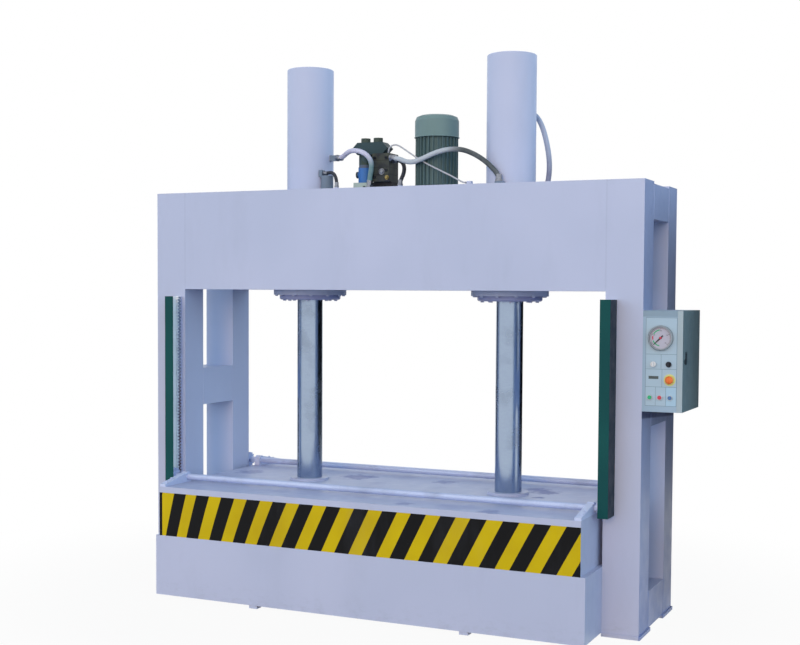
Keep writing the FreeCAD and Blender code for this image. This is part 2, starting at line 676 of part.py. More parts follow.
def make_valve_knob(label, x):
    """Round adjusting knob with flats, on the relief valve."""
    body = new_body(label, x, "0", f"{LID_TOP} + relief_bottom + relief_height")
    grip = new_sketch(body)
    circle(grip, "0", "0", "knob_radius")
    pad(body, grip, "knob_height")
    flute = new_sketch(body)
    circle(flute, "knob_radius * 1.1", "0", "knob_radius * 0.2")
    repeat_around(body, pocket(body, flute), "Z_Axis", "8")


# ---------------------------------------------------------------- control box
BOX_LEFT = "(inner_span / 2 + post_width)"
BOX_FRONT = "(frame_depth / 2)"
# places on the panel, from the box's left side and from its bottom
BUTTONS = (("green_button", 40, 73), ("red_button", 90, 73), ("blue_button", 141, 73))
SELECTORS = (("pressure_selector", 56, 240), ("mode_selector", 133, 240))
STOP_PLACE = (138, 162)
GAUGE_PLACE = (92, 372)
HINGE_HEIGHTS = (80, 380)
CONTACTORS = ((-260, 120), (-150, 120), (-40, 120), (-260, 300), (-110, 300))


def make_control_box(label):
    """Folded cabinet, open to its door; contactors inside and collars on its front."""
    body = new_body(label, BOX_LEFT, f"-{BOX_FRONT}", "box_bottom")
    block(body, "0", "box_width", "0", "box_depth", "0", "box_height")
    hollow = new_sketch(body, "YZ_Plane", "box_width")
    rectangle(hollow, "box_sheet", "box_sheet", "box_depth - box_sheet", "box_height - box_sheet")
    pocket(body, hollow, "box_width - box_sheet")
    collars = new_sketch(body, "XZ_Plane")
    for _, x, z in BUTTONS:
        circle(collars, x, z, "button_radius + 3")
    pad(body, collars, "collar_height")
    wells = new_sketch(body, "XZ_Plane", "collar_height")
    for _, x, z in BUTTONS:
        circle(wells, x, z, "button_radius + slide_clearance")
    pocket(body, wells, "collar_height")
    disc = new_sketch(body, "XZ_Plane")
    circle(disc, *STOP_PLACE, "stop_radius * 1.25")
    pad(body, disc, "2.5")
    for _, x, z in SELECTORS:
        ring = new_sketch(body, "XZ_Plane")
        circle(ring, x, z, "selector_radius + 2")
        pad(body, ring, "2")
    holes = new_sketch(body, "XZ_Plane", "collar_height")
    for x, z in [place[1:] for place in BUTTONS + SELECTORS] + [STOP_PLACE]:
        circle(holes, x, z, "stem_radius + slide_clearance")
    circle(holes, *GAUGE_PLACE, "gauge_body_radius + slide_clearance")
    pocket(body, holes, "collar_height + 2 * box_sheet")
    for y, z in CONTACTORS:
        depth = f"box_depth - {-y}"
        block(body, "box_sheet", "box_sheet + 45", f"{depth} - 40", f"{depth} + 40",
              z, f"{z} + 90")
    for height in HINGE_HEIGHTS:
        knuckle = new_sketch(body, "XY_Plane", height)
        circle(knuckle, "box_width + door_gap / 2", "box_depth + hinge_offset", "knuckle_radius")
        pad(body, knuckle, "knuckle_length")
        block(body, "box_width - knuckle_radius", "box_width", "box_depth - box_sheet",
              "box_depth + hinge_offset", height, f"{height} + knuckle_length")
        pin = new_sketch(body, "XY_Plane", height)
        circle(pin, "box_width + door_gap / 2", "box_depth + hinge_offset", "hinge_pin_radius")
        pad(body, pin, "2 * knuckle_length - 2")


def make_door(label):
    """Shallow pan door with its half of each hinge and a quarter-turn lock."""
    body = new_body(label, f"{BOX_LEFT} + box_width + door_gap", f"-{BOX_FRONT}", "box_bottom")
    block(body, "0", "door_thickness", "0", "box_depth", "0", "box_height")
    hollow = new_sketch(body, "YZ_Plane")
    rectangle(hollow, "2 * box_sheet", "2 * box_sheet",
              "box_depth - 2 * box_sheet", "box_height - 2 * box_sheet")
    pocket(body, hollow, "door_thickness - box_sheet", flip=True)
    lock = new_sketch(body, "YZ_Plane", "door_thickness")
    circle(lock, "42", "box_height / 2", "12")
    pad(body, lock, "7")
    for height in HINGE_HEIGHTS:
        bottom = f"({height} + knuckle_length + slide_clearance)"
        knuckle = new_sketch(body, "XY_Plane", bottom)
        circle(knuckle, "-door_gap / 2", "box_depth + hinge_offset", "knuckle_radius")
        pad(body, knuckle, "knuckle_length")
        block(body, "0", "knuckle_radius", "box_depth - box_sheet", "box_depth + hinge_offset",
              bottom, f"{bottom} + knuckle_length")
        bore = new_sketch(body, "XY_Plane", f"{bottom} + knuckle_length")
        circle(bore, "-door_gap / 2", "box_depth + hinge_offset",
               "hinge_pin_radius + slide_clearance")
        pocket(body, bore, "knuckle_length")


def place_on_panel(label, place):
    x, z = place
    return new_body(label, f"{BOX_LEFT} + {x}", f"-{BOX_FRONT}", f"box_bottom + {z}")


def make_gauge(label):
    """Gauge case: rim in front of the panel, body behind it, open bowl for the dial."""
    body = place_on_panel(label, GAUGE_PLACE)
    floor = "-(gauge_rim - gauge_bowl)"
    revolve(body, [
        ("0", "gauge_rim"), ("gauge_body_radius", "gauge_rim"), ("gauge_body_radius", "0"),
        ("gauge_radius", "0"), ("gauge_radius", "-gauge_rim + box_sheet"),
        ("gauge_radius - box_sheet", "-gauge_rim"), ("gauge_bowl_radius", "-gauge_rim"),
        ("gauge_bowl_radius", floor), ("0", floor)], "XY_Plane")


def make_pointer(label):
    """Pressure pointer on its spindle, pointing to the zero of the scale."""
    body = place_on_panel(label, GAUGE_PLACE)
    hub = new_sketch(body, "XZ_Plane", "gauge_rim - gauge_bowl + slide_clearance")
    circle(hub, "0", "0", "6")
    pad(body, hub, "5")
    hand = new_sketch(body, "XZ_Plane", "gauge_rim - gauge_bowl + slide_clearance + 3")
    reach = "gauge_bowl_radius * 0.62"
    outline(hand, [("2.5", "-2.5"), (f"-{reach} + 1", f"-{reach} - 1"),
                   (f"-{reach} - 1", f"-{reach} + 1"), ("-2.5", "2.5"), ("10", "14"),
                   ("14", "10")])
    pad(body, hand, "1.5")


def make_button(label, x, z):
    """Push button: cap in its collar and a stem through the panel."""
    body = place_on_panel(label, (x, z))
    gap = "button_travel + slide_clearance"
    cap = new_sketch(body, "XZ_Plane", gap)
    circle(cap, "0", "0", "button_radius")
    pad(body, cap, "6")
    stem = new_sketch(body, "XZ_Plane", "-18")
    circle(stem, "0", "0", "stem_radius")
    pad(body, stem, f"18 + {gap}")


def make_stop_button(label):
    """Mushroom head on a stem."""
    body = place_on_panel(label, STOP_PLACE)
    gap = "(2.5 + stop_travel + slide_clearance)"
    revolve(body, [
        ("0", "18"), ("-stem_radius", "18"), ("-stem_radius", f"-{gap}"),
        ("-stop_radius", f"-{gap}"), ("-stop_radius", f"-{gap} - 7"),
        ("-stop_radius * 0.75", f"-{gap} - 13"), ("-stop_radius * 0.3", f"-{gap} - 16"),
        ("0", f"-{gap} - 16")], "XY_Plane")


def make_selector(label, x, z):
    """Turn knob with a raised grip."""
    body = place_on_panel(label, (x, z))
    disc = new_sketch(body, "XZ_Plane", "2 + slide_clearance")
    circle(disc, "0", "0", "selector_radius")
    pad(body, disc, "6")
    grip = new_sketch(body, "XZ_Plane", "2 + slide_clearance")
    rectangle(grip, "-selector_radius * 0.28", "-selector_radius * 0.9",
              "selector_radius * 0.28", "selector_radius * 0.9")
    pad(body, grip, "17")
    stem = new_sketch(body, "XZ_Plane", "-18")
    circle(stem, "0", "0", "stem_radius")
    pad(body, stem, "18 + 2 + slide_clearance")


# ---------------------------------------------------------------- hoses
HOSES = (
    # label, radius, route
    ("left_port_hose", 10, (
        (-500, -80, 2447), (-476, -80, 2447), (-450, -88, 2450), (-424, -102, 2444),
        (-401, -120, 2427), (-384, -138, 2402), (-377, -148, 2380), (-377, -148, 2358))),
    ("left_feed_hose", 14, (
        (-194, -93, 2358), (-194, -93, 2388), (-187, -100, 2424), (-173, -112, 2458),
        (-168, -122, 2494), (-181, -130, 2526), (-212, -132, 2551), (-256, -122, 2565),
        (-304, -98, 2570), (-350, -62, 2565), (-392, -24, 2552), (-424, -4, 2541),
        (-453, -4, 2541))),
    ("right_feed_hose", 14, (
        (-78, -64, 2522), (-48, -64, 2522), (-8, -78, 2511), (34, -100, 2495), (80, -122, 2487),
        (124, -138, 2491), (178, -147, 2509), (248, -152, 2534), (325, -155, 2548),
        (405, -157, 2542), (475, -160, 2514), (536, -162, 2476), (584, -163, 2434),
        (611, -164, 2402), (620, -164, 2380), (620, -164, 2360))),
    ("right_upper_hose", 14.5, (
        (616, 160, 2776), (652, 160, 2776), (700, 149, 2763), (742, 126, 2728), (774, 102, 2678),
        (798, 82, 2622), (820, 62, 2556), (836, 44, 2486), (842, 28, 2414), (836, 12, 2344),
        (826, 2, 2296), (826, 2, 2262))),
    ("gauge_line", 4.5, (
        (-90, -60, 2550), (-90, -60, 2566), (-82, -62, 2583), (-62, -66, 2594), (-36, -70, 2595),
        (-6, -77, 2582), (36, -89, 2556), (92, -106, 2522), (146, -121, 2492), (200, -133, 2464),
        (256, -143, 2438), (312, -150, 2412), (364, -155, 2386), (396, -158, 2368),
        (418, -158, 2360), (436, -158, 2360))),
    ("return_hose", 11.5, (
        (-78, -20, 2512), (-52, -20, 2512), (-24, -30, 2505), (0, -48, 2485), (16, -72, 2456),
        (22, -98, 2423), (18, -118, 2396), (14, -124, 2376), (14, -124, 2358))),
)


def rounded_path(points):
    """Straight runs joined by tangent arcs; returns the wire and its tightest radius."""
    spots = [Vector(*point) for point in points]
    edges, here, tightest = [], spots[0], math.inf
    for before, corner, after in zip(spots, spots[1:], spots[2:]):
        back, ahead = before - corner, after - corner
        half_turn = (math.pi - back.getAngle(ahead)) / 2
        trim = 0.45 * min(back.Length, ahead.Length)
        radius = trim / math.tan(half_turn)
        back.normalize()
        ahead.normalize()
        start, finish = corner + back * trim, corner + ahead * trim
        bisector = (back + ahead).normalize()
        centre = corner + bisector * (radius / math.cos(half_turn))
        middle = centre - bisector * radius
        edges.append(Part.LineSegment(here, start).toShape())
        edges.append(Part.Arc(start, middle, finish).toShape())
        here, tightest = finish, min(tightest, radius)
    edges.append(Part.LineSegment(here, spots[-1]).toShape())
    return Part.Wire(edges), tightest


def make_hose(label, radius, points):
    path, tightest = rounded_path(points)
    start = Vector(*points[0])
    ring = Part.Wire(Part.makeCircle(radius, start, Vector(*points[1]) - start))
    tube = path.makePipeShell([ring], True, False)
    share = tube.Volume / (math.pi * radius ** 2 * path.Length)
    print(f"{label}: length {path.Length:.0f}, tightest radius {tightest:.0f}, fill {share:.3f}")
    feature = doc.addObject("Part::Feature", label)
    feature.Label = label
    feature.Shape = tube
    pieces.append(feature)


# ---------------------------------------------------------------- the whole press
def build():
    wall = "barrel_radius - barrel_wall / 2"
    for end_name, end in ENDS:
        for side_name, side in SIDES:
            corner = f"{end_name}_{side_name}"
            make_post(f"{corner}_post", side, end)
            make_rack(f"{corner}_rack", side, end)
            make_bracket(f"{corner}_shaft_bracket", side, end)
        make_top_beam(f"{end_name}_top_beam", end)
        make_sync_shaft(f"{end_name}_sync_shaft", end)
    for side_name, side in SIDES:
        make_guard(f"{side_name}_rack_guard", side, -1)
        make_tie(f"{side_name}_top_tie", side, "frame_top - top_tie_drop - top_tie_height",
                 "top_tie_height")
        make_tie(f"{side_name}_middle_tie", side, "middle_tie_bottom", "middle_tie_height")
        make_gland(f"{side_name}_gland", side)
        make_piston_rod(f"{side_name}_piston_rod", side)
    left = make_cylinder("left_cylinder", -1)
    elbow = new_sketch(left, "XY_Plane", f"2335 - {FLANGE_BOTTOM}")
    circle(elbow, "barrel_radius + 15", "-75", "36")
    pad(left, elbow, "98")
    add_port(left, "108", "130", "-98", "-62", "2428", "2466")
    add_port(left, wall, "177", "-20", "12", "2525", "2557")
    right = make_cylinder("right_cylinder", 1)
    add_port(right, "-26", "18", "-186", f"-({wall})", "2338", "2360")
    add_port(right, "-62", "-14", wall, "182", "2752", "2800")
    add_port(right, wall, "barrel_radius + 76", "-20", "24", "2222", "2262")
    make_base_frame("base_frame")
    make_plate("bed_plate", "base_length", "bed_top - bed_plate_thickness", "bed_top")
    make_plate("press_plate", "platen_length", "bed_top", "bed_top + press_plate_thickness")
    frame = new_body("platen_frame")
    egg_crate(frame, "platen_length", "(bed_top + press_plate_thickness)",
              "(platen_height - press_plate_thickness - top_plate_thickness)")
    make_platen_top("platen_top_plate")
    make_tank("oil_tank")
    make_tank_lid("tank_lid")
    make_motor("pump_motor")
    make_cowl("motor_cowl")
    make_manifold("valve_manifold")
    make_solenoid_valve("solenoid_valve")
    make_valve_knob("left_valve_knob", "relief_left + relief_length * 0.31")
    make_valve_knob("right_valve_knob", "relief_left + relief_length * 0.66")
    make_control_box("control_box")
    make_door("control_door")
    make_gauge("pressure_gauge")
    make_pointer("gauge_pointer")
    for label, x, z in BUTTONS:
        make_button(label, x, z)
    make_stop_button("stop_button")
    for label, x, z in SELECTORS:
        make_selector(label, x, z)
    for hose in HOSES:
        make_hose(*hose)


build()
doc.recompute()
for thing in doc.Objects:
    if "Invalid" in thing.State or "Error" in thing.State:
        raise RuntimeError(f"{thing.Name} failed: {thing.State}")
os.makedirs("parts", exist_ok=True)
for piece in pieces:
    if piece.Shape.isNull() or not piece.Shape.isValid() or not piece.Shape.Solids:
        raise RuntimeError(f"{piece.Label} has no valid solid")
for piece in pieces:
    piece.Shape.exportStep(f"parts/{piece.Label}.step")
print(f"{len(pieces)} pieces written")
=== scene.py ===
"""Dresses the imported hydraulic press: camera, hoses, studio, finishes and small fittings.

Metres, in the frame of the CAD: +X to the operator's right, +Y to the rear, +Z up, front at -Y.
"""
import json
import math

import bmesh
import bpy
from mathutils import Matrix, Vector


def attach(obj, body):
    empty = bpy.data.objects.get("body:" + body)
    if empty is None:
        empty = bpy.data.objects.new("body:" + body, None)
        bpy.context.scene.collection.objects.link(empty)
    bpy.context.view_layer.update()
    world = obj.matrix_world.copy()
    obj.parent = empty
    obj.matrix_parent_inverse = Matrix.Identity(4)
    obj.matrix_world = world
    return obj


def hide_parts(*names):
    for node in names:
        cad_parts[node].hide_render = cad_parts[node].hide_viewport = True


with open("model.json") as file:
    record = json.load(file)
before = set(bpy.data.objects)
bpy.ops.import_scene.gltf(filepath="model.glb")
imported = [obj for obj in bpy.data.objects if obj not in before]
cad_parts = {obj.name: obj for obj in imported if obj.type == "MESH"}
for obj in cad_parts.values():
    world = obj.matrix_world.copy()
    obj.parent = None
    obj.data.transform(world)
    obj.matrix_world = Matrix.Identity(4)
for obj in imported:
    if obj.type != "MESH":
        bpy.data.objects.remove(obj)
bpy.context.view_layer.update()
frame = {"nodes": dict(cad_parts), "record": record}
nodes = frame["nodes"]
slot_of = {row["node"]: row["material_slot"] for row in frame["record"]["subparts"]}
scene = bpy.context.scene
scene.view_settings.view_transform = "Standard"


# ---------------------------------------------------------------- camera
CAMERA_PLACE = (3.0684, -6.6798, 1.7570)
CAMERA_ANGLES = (24.555, -2.659, 0.337)  # degrees: turned to the left, pitch, roll
CAMERA_LENS, CAMERA_SENSOR = 57.556, 36
CAMERA_SHIFT = (-0.01094, 0.03693)


def set_camera():
    """Camera as it was fitted to the photograph."""
    yaw, pitch, roll = (math.radians(angle) for angle in CAMERA_ANGLES)
    look = Vector((-math.sin(yaw) * math.cos(pitch), math.cos(yaw) * math.cos(pitch),
                   math.sin(pitch)))
    level = Vector((look.y, -look.x, 0)).normalized()
    up = level.cross(look)
    right = level * math.cos(roll) + up * math.sin(roll)
    up = up * math.cos(roll) - level * math.sin(roll)
    data = bpy.data.cameras.new("camera")
    data.sensor_width = CAMERA_SENSOR
    data.lens = CAMERA_LENS
    data.shift_x, data.shift_y = CAMERA_SHIFT
    camera = bpy.data.objects.new("camera", data)
    turn = Matrix((right, up, -look)).transposed().to_4x4()
    camera.matrix_world = Matrix.Translation(CAMERA_PLACE) @ turn
    scene.collection.objects.link(camera)
    scene.camera = camera


set_camera()


# ---------------------------------------------------------------- node helpers
def rgb(colour):
    """Screen values 0 to 255 as the linear colour that the sockets take."""
    steps = (value / 255 for value in colour)
    return tuple(s / 12.92 if s <= 0.04045 else ((s + 0.055) / 1.055) ** 2.4 for s in steps) + (1,)


class Finish:
    """A node material whose patterns lie in the object's own space, in metres."""

    def __init__(self, name, colour=(128, 128, 128), rough=0.5, metal=0.0, **shader):
        self.material = bpy.data.materials.new(name)
        self.material.use_nodes = True
        self.tree = self.material.node_tree
        self.shader = self.tree.nodes["Principled BSDF"]
        self.set("Base Color", rgb(colour))
        self.set("Roughness", rough)
        self.set("Metallic", metal)
        for label, value in shader.items():
            self.set(label.replace("_", " "), value)
        self.where = self.add("ShaderNodeTexCoord").outputs["Object"]

    def set(self, label, value):
        self.fill(self.shader.inputs[label], value)

    def fill(self, socket, value):
        if isinstance(value, bpy.types.NodeSocket):
            self.tree.links.new(value, socket)
        else:
            socket.default_value = value

    def add(self, kind, inputs=(), **settings):
        node = self.tree.nodes.new(kind)
        for key, value in settings.items():
            setattr(node, key, value)
        for place, value in dict(inputs).items():
            self.fill(node.inputs[place], value)
        return node

    def maths(self, operation, first, second=0.0):
        return self.add("ShaderNodeMath", {0: first, 1: second}, operation=operation).outputs[0]

    def axes(self):
        return self.add("ShaderNodeSeparateXYZ", {0: self.where}).outputs

    def noise(self, scale, detail=3.0, rough=0.5, stretch=None):
        where = self.where
        if stretch:
            where = self.add("ShaderNodeMapping", {"Vector": where, "Scale": stretch}).outputs[0]
        return self.add("ShaderNodeTexNoise", {"Vector": where, "Scale": scale, "Detail": detail,
                                               "Roughness": rough}).outputs["Fac"]

    def times(self, *factors):
        product = factors[0]
        for factor in factors[1:]:
            product = self.maths("MULTIPLY", product, factor)
        return product

    def above(self, value, limit):
        return self.maths("GREATER_THAN", value, limit)

    def below(self, value, limit):
        return self.maths("LESS_THAN", value, limit)

    def within(self, value, low, high):
        return self.times(self.above(value, low), self.below(value, high))

    def disc(self, first, second, centre, radius):
        """1 inside a circle of the plane of two axes."""
        off = [self.maths("SUBTRACT", axis, at) for axis, at in zip((first, second), centre)]
        squares = [self.maths("MULTIPLY", step, step) for step in off]
        return self.below(self.maths("ADD", *squares), radius * radius)

    def spread(self, value, low, high, bottom=0.0, top=1.0, smooth=False):
        """value between low and high, mapped to bottom and top, and kept inside them."""
        kind = "SMOOTHSTEP" if smooth else "LINEAR"
        return self.add("ShaderNodeMapRange", {0: value, 1: low, 2: high, 3: bottom, 4: top},
                        interpolation_type=kind, clamp=True).outputs[0]

    def mix(self, share, first, second):
        return self.add("ShaderNodeMix", {0: share, 6: first, 7: second},
                        data_type="RGBA").outputs[2]

    def bump(self, height, distance, strength=1.0, onto=None):
        inputs = {"Height": height, "Distance": distance, "Strength": strength}
        if onto is not None:
            inputs["Normal"] = onto
        return self.add("ShaderNodeBump", inputs).outputs[0]


DUST = (176, 176, 172)


def paint(name, colour, dark, rough=0.38, gloss=0.3, wear=0.3, body=None):
    """Sprayed paint: soft tone changes, orange peel, grime in streaks and a little dust."""
    finish = Finish(name, rough=rough, Specular_IOR_Level=gloss)
    tone = finish.spread(finish.noise(1.3, 2.0), 0.32, 0.68, smooth=True)
    paint_colour = finish.mix(tone, rgb(colour), rgb(dark))
    if body:
        paint_colour = body(finish, paint_colour)
    streaks = finish.noise(5.0, 6.0, 0.65, stretch=(1.0, 1.0, 0.25))
    grime_and_shadow = finish.spread(streaks, 0.52, 0.85, 0.0, wear)
    paint_colour = finish.mix(grime_and_shadow, paint_colour, rgb([value * 0.62 for value in dark]))
    specks = finish.spread(finish.noise(160.0, 4.0, 0.7), 0.66, 0.78, 0.0, wear)
    paint_colour = finish.mix(specks, paint_colour, rgb(DUST))
    finish.set("Base Color", paint_colour)
    finish.set("Roughness", finish.spread(finish.noise(14.0, 5.0), 0.3, 0.7, rough - 0.07,
                                          rough + 0.1))
    peel = finish.bump(finish.noise(420.0, 1.0), 0.0004, 0.35)
    finish.set("Normal", finish.bump(finish.noise(7.0, 1.0), 0.002, 0.25, peel))
    return finish.material


def metal(name, colour, dark, rough=0.25, grain=(1.0, 1.0, 1.0), scale=200.0, depth=0.0002,
          metallic=1.0, body=None):
    """Bare metal with a machined grain, stretched along the axes that grain makes small."""
    finish = Finish(name, rough=rough, metal=metallic)
    lines = finish.noise(scale, 4.0, 0.6, stretch=grain)
    film = finish.noise(6.0, 4.0)
    colours = finish.mix(finish.spread(lines, 0.3, 0.7), rgb(colour), rgb(dark))
    if body:
        colours = body(finish, colours)
    oil = finish.spread(film, 0.5, 0.75, 0.0, 0.4)
    finish.set("Base Color", finish.mix(oil, colours, rgb([value * 0.72 for value in dark])))
    finish.set("Roughness", finish.spread(film, 0.3, 0.7, rough - 0.06, rough + 0.12))
    finish.set("Normal", finish.bump(lines, depth, 0.4))
    return finish.material


def moulded(name, colour, rough=0.4, wear=0.2, body=None):
    """Plastic or rubber with a fine grain and a film of dust."""
    finish = Finish(name, rough=rough)
    film = finish.noise(22.0, 5.0, 0.6)
    lighter = [min(255, value * 0.8 + 60) for value in colour]
    base = body(finish, rgb(colour)) if body else rgb(colour)
    finish.set("Base Color", finish.mix(finish.spread(film, 0.45, 0.8, 0.0, wear), base,
                                        rgb(lighter)))
    finish.set("Roughness", finish.spread(film, 0.3, 0.7, rough - 0.08, rough + 0.14))
    finish.set("Normal", finish.bump(finish.noise(500.0, 2.0), 0.0002, 0.5))
    return finish.material


# ---------------------------------------------------------------- finishes
POST_INNER, POST_OUTER = 1.275, 1.470  # faces of the posts along X
FRAME_SIDE = 1.4695                    # just inside the frame's outer faces
BARREL_X = 0.63                        # middle of each barrel
STRIPE_START, STRIPE_PITCH = 1.2904, 0.1665
STRIPE_TOP, STRIPE_HEIGHT = 0.607, 0.247


def frame_body(finish, colour):
    """Ground-flush weld seams where the beams meet the posts, painted shade on the outer side
    faces, a painted shadow under the switch box, and faint scuffs near the floor.
    """
    x, y, z = finish.axes()
    wobble = finish.spread(finish.noise(60.0, 2.0), 0.3, 0.7, -0.0012, 0.0012)
    off = finish.maths("ABSOLUTE", finish.maths("SUBTRACT", finish.maths("ABSOLUTE", x),
                                                          POST_INNER))
    seam = finish.spread(finish.maths("ADD", off, wobble), 0.001, 0.006, 1.0, 0.0, smooth=True)
    colour = finish.mix(finish.times(seam, finish.above(z, 1.775), 0.13), colour,
                        rgb((112, 118, 150)))
    # Painted shade: the frame's outer side faces are painted darker and bluer, most strongly low
    # down.
    side = finish.above(finish.maths("ABSOLUTE", x), FRAME_SIDE)
    depth = finish.spread(z, 0.12, 0.6, 0.95, 0.5, smooth=True)
    colour = finish.mix(finish.times(side, depth), colour, rgb((126, 140, 188)))
    # Painted shadow: a dark band on the right outer side just under the switch box, its lower edge
    # sloping down towards the rear.
    slope = finish.maths("ADD", z, finish.times(y, 0.06))
    band = finish.spread(slope, 1.102, 1.114, 0.0, 0.85, smooth=True)
    grime_and_shadow = finish.times(side, band, finish.below(z, 1.18), finish.above(x, 0.0))
    colour = finish.mix(grime_and_shadow, colour, rgb((74, 80, 116)))
    low = finish.spread(z, 0.0, 0.16, 0.3, 0.0, smooth=True)
    scuff = finish.spread(finish.noise(18.0, 6.0, 0.7, stretch=(1.0, 1.0, 2.0)), 0.5, 0.78)
    return finish.mix(finish.times(low, scuff), colour, rgb((120, 124, 142)))


# patches of painted shade on the upper plate: X, Y, radius, depth of tone
SHADE_PATCHES = ((-0.41, 0.20, 0.10, 0.8), (-0.33, 0.24, 0.05, 0.6), (0.14, 0.24, 0.07, 0.7),
          (0.74, 0.20, 0.08, 0.95), (0.81, 0.14, 0.08, 0.85), (0.82, -0.05, 0.035, 0.9),
          (0.25, -0.56, 0.05, 0.6), (0.75, -0.60, 0.06, 0.6), (-1.10, 0.10, 0.09, 0.6))


def platen_body(finish, colour):
    """Slanted black and yellow bands on the front, and stains with patches of painted shade on the
    upper plate.
    """
    x, y, z = finish.axes()
    drop = finish.maths("DIVIDE", finish.maths("SUBTRACT", STRIPE_TOP, z), STRIPE_HEIGHT)
    along = finish.maths("ADD", x, STRIPE_START)
    slant = finish.maths("MINIMUM", finish.maths("ADD", finish.times(along, 0.075), 0.0525),
                         finish.maths("ADD", finish.times(along, 0.0144), 0.1019))
    place = finish.maths("ADD", along, finish.times(drop, slant))
    place = finish.maths("SUBTRACT", place, finish.spread(place, 0.18, 0.30, 0.018, 0.0))
    place = finish.maths("SUBTRACT", place, finish.spread(place, 2.0, 2.15, 0.0, 0.013))
    share = finish.maths("DIVIDE", place, STRIPE_PITCH)
    turn = finish.maths("FRACT", finish.maths("ADD", share, 0.5))
    off = finish.maths("ABSOLUTE", finish.maths("SUBTRACT", turn, 0.5))
    black = finish.spread(off, 0.257, 0.263, 1.0, 0.0)
    black = finish.maths("MAXIMUM", black, finish.below(x, -1.232))
    rubbed = finish.spread(finish.noise(30.0, 7.0, 0.75, stretch=(1.0, 1.0, 3.0)), 0.62, 0.74,
                           0.0, 0.18)
    yellow = finish.mix(finish.spread(finish.noise(3.0, 3.0), 0.3, 0.7), rgb((200, 175, 3)),
                        rgb((184, 157, 6)))
    bands = finish.mix(black, yellow, rgb((5, 5, 8)))
    bands = finish.mix(rubbed, bands, rgb((96, 94, 84)))
    front = finish.times(finish.below(y, -0.6496), finish.below(z, STRIPE_TOP))
    stains_and_shade = finish.spread(finish.noise(3.2, 3.0, 0.55), 0.5, 0.75, 0.0, 0.3, smooth=True)
    # Each listed patch is painted shade that darkens the upper plate round its place; the noise
    # stains above are the plate's own.
    for at_x, at_y, radius, depth in SHADE_PATCHES:
        steps = [finish.maths("SUBTRACT", axis, at) for axis, at in ((x, at_x), (y, at_y))]
        far = finish.maths("SQRT", finish.maths("ADD", *[finish.times(s, s) for s in steps]))
        shade_blot = finish.spread(finish.maths("ADD", far, finish.spread(
            finish.noise(24.0, 3.0), 0.3, 0.7, -radius * 0.4, radius * 0.4)),
            radius * 0.5, radius * 1.2, depth, 0.0, smooth=True)
        stains_and_shade = finish.maths("MAXIMUM", stains_and_shade, shade_blot)
    stains_and_shade = finish.times(stains_and_shade, finish.within(z, 0.6398, 0.6402))
    return finish.mix(front, finish.mix(stains_and_shade, colour, rgb((100, 112, 168))), bands)


def guard_body(finish, colour):
    """Dark green in front, painted shade that makes the outer side darker and bluer, and
    near-white inside faces.
    """
    x, y, _ = finish.axes()
    across = finish.maths("ABSOLUTE", x)
    outer = finish.above(across, 1.3346)
    inner = finish.times(finish.above(y, -0.4702), finish.below(across, 1.3325))
    # Painted shade: the outer side is painted darker and bluer.
    colour = finish.mix(outer, colour, rgb((8, 36, 50)))
    return finish.mix(inner, colour, rgb((250, 250, 252)))


def rack_body(finish, colour):
    """Painted inner side, greased teeth that are dark and reddish low down, clean outer edge."""
    x, _, z = finish.axes()
    across = finish.maths("ABSOLUTE", x)
    low = finish.spread(z, 1.2, 1.36, 1.0, 0.0, smooth=True)
    teeth = finish.times(finish.above(across, 1.2958), finish.below(across, 1.3095))
    grease = finish.mix(low, rgb((128, 142, 170)), rgb((88, 54, 74)))
    lumps = finish.spread(finish.noise(20.0, 4.0, 0.6), 0.36, 0.6, 0.45, 0.9)
    colour = finish.mix(finish.times(teeth, lumps), colour, grease)
    colour = finish.mix(finish.times(finish.above(across, 1.3115), 0.9), colour,
                        rgb((236, 240, 246)))
    return finish.mix(finish.times(finish.below(across, 1.2958), 0.9), colour,
                      rgb((188, 196, 226)))


# printed panel of the switch box: its edges, the lines under its rows, half a line's width
PANEL_LEFT, PANEL_RIGHT, PANEL_LOW, PANEL_HIGH = 1.4863, 1.6425, 1.198, 1.639
UNDER_GAUGE, UNDER_SELECTORS, UNDER_STOP = 1.4568, 1.3823, 1.2932
BLUE_LEFT, HALF_LINE = 1.5896, 0.0009
ROW_LINES = (PANEL_HIGH, UNDER_GAUGE, UNDER_SELECTORS, UNDER_STOP, PANEL_LOW)
UPRIGHT_LINES = ((PANEL_LEFT, PANEL_LOW, PANEL_HIGH), (PANEL_RIGHT, PANEL_LOW, PANEL_HIGH),
                 (1.5643, UNDER_SELECTORS, UNDER_GAUGE), (1.5696, UNDER_STOP, UNDER_SELECTORS),
                 (1.5377, PANEL_LOW, UNDER_STOP), (BLUE_LEFT, PANEL_LOW, UNDER_STOP))


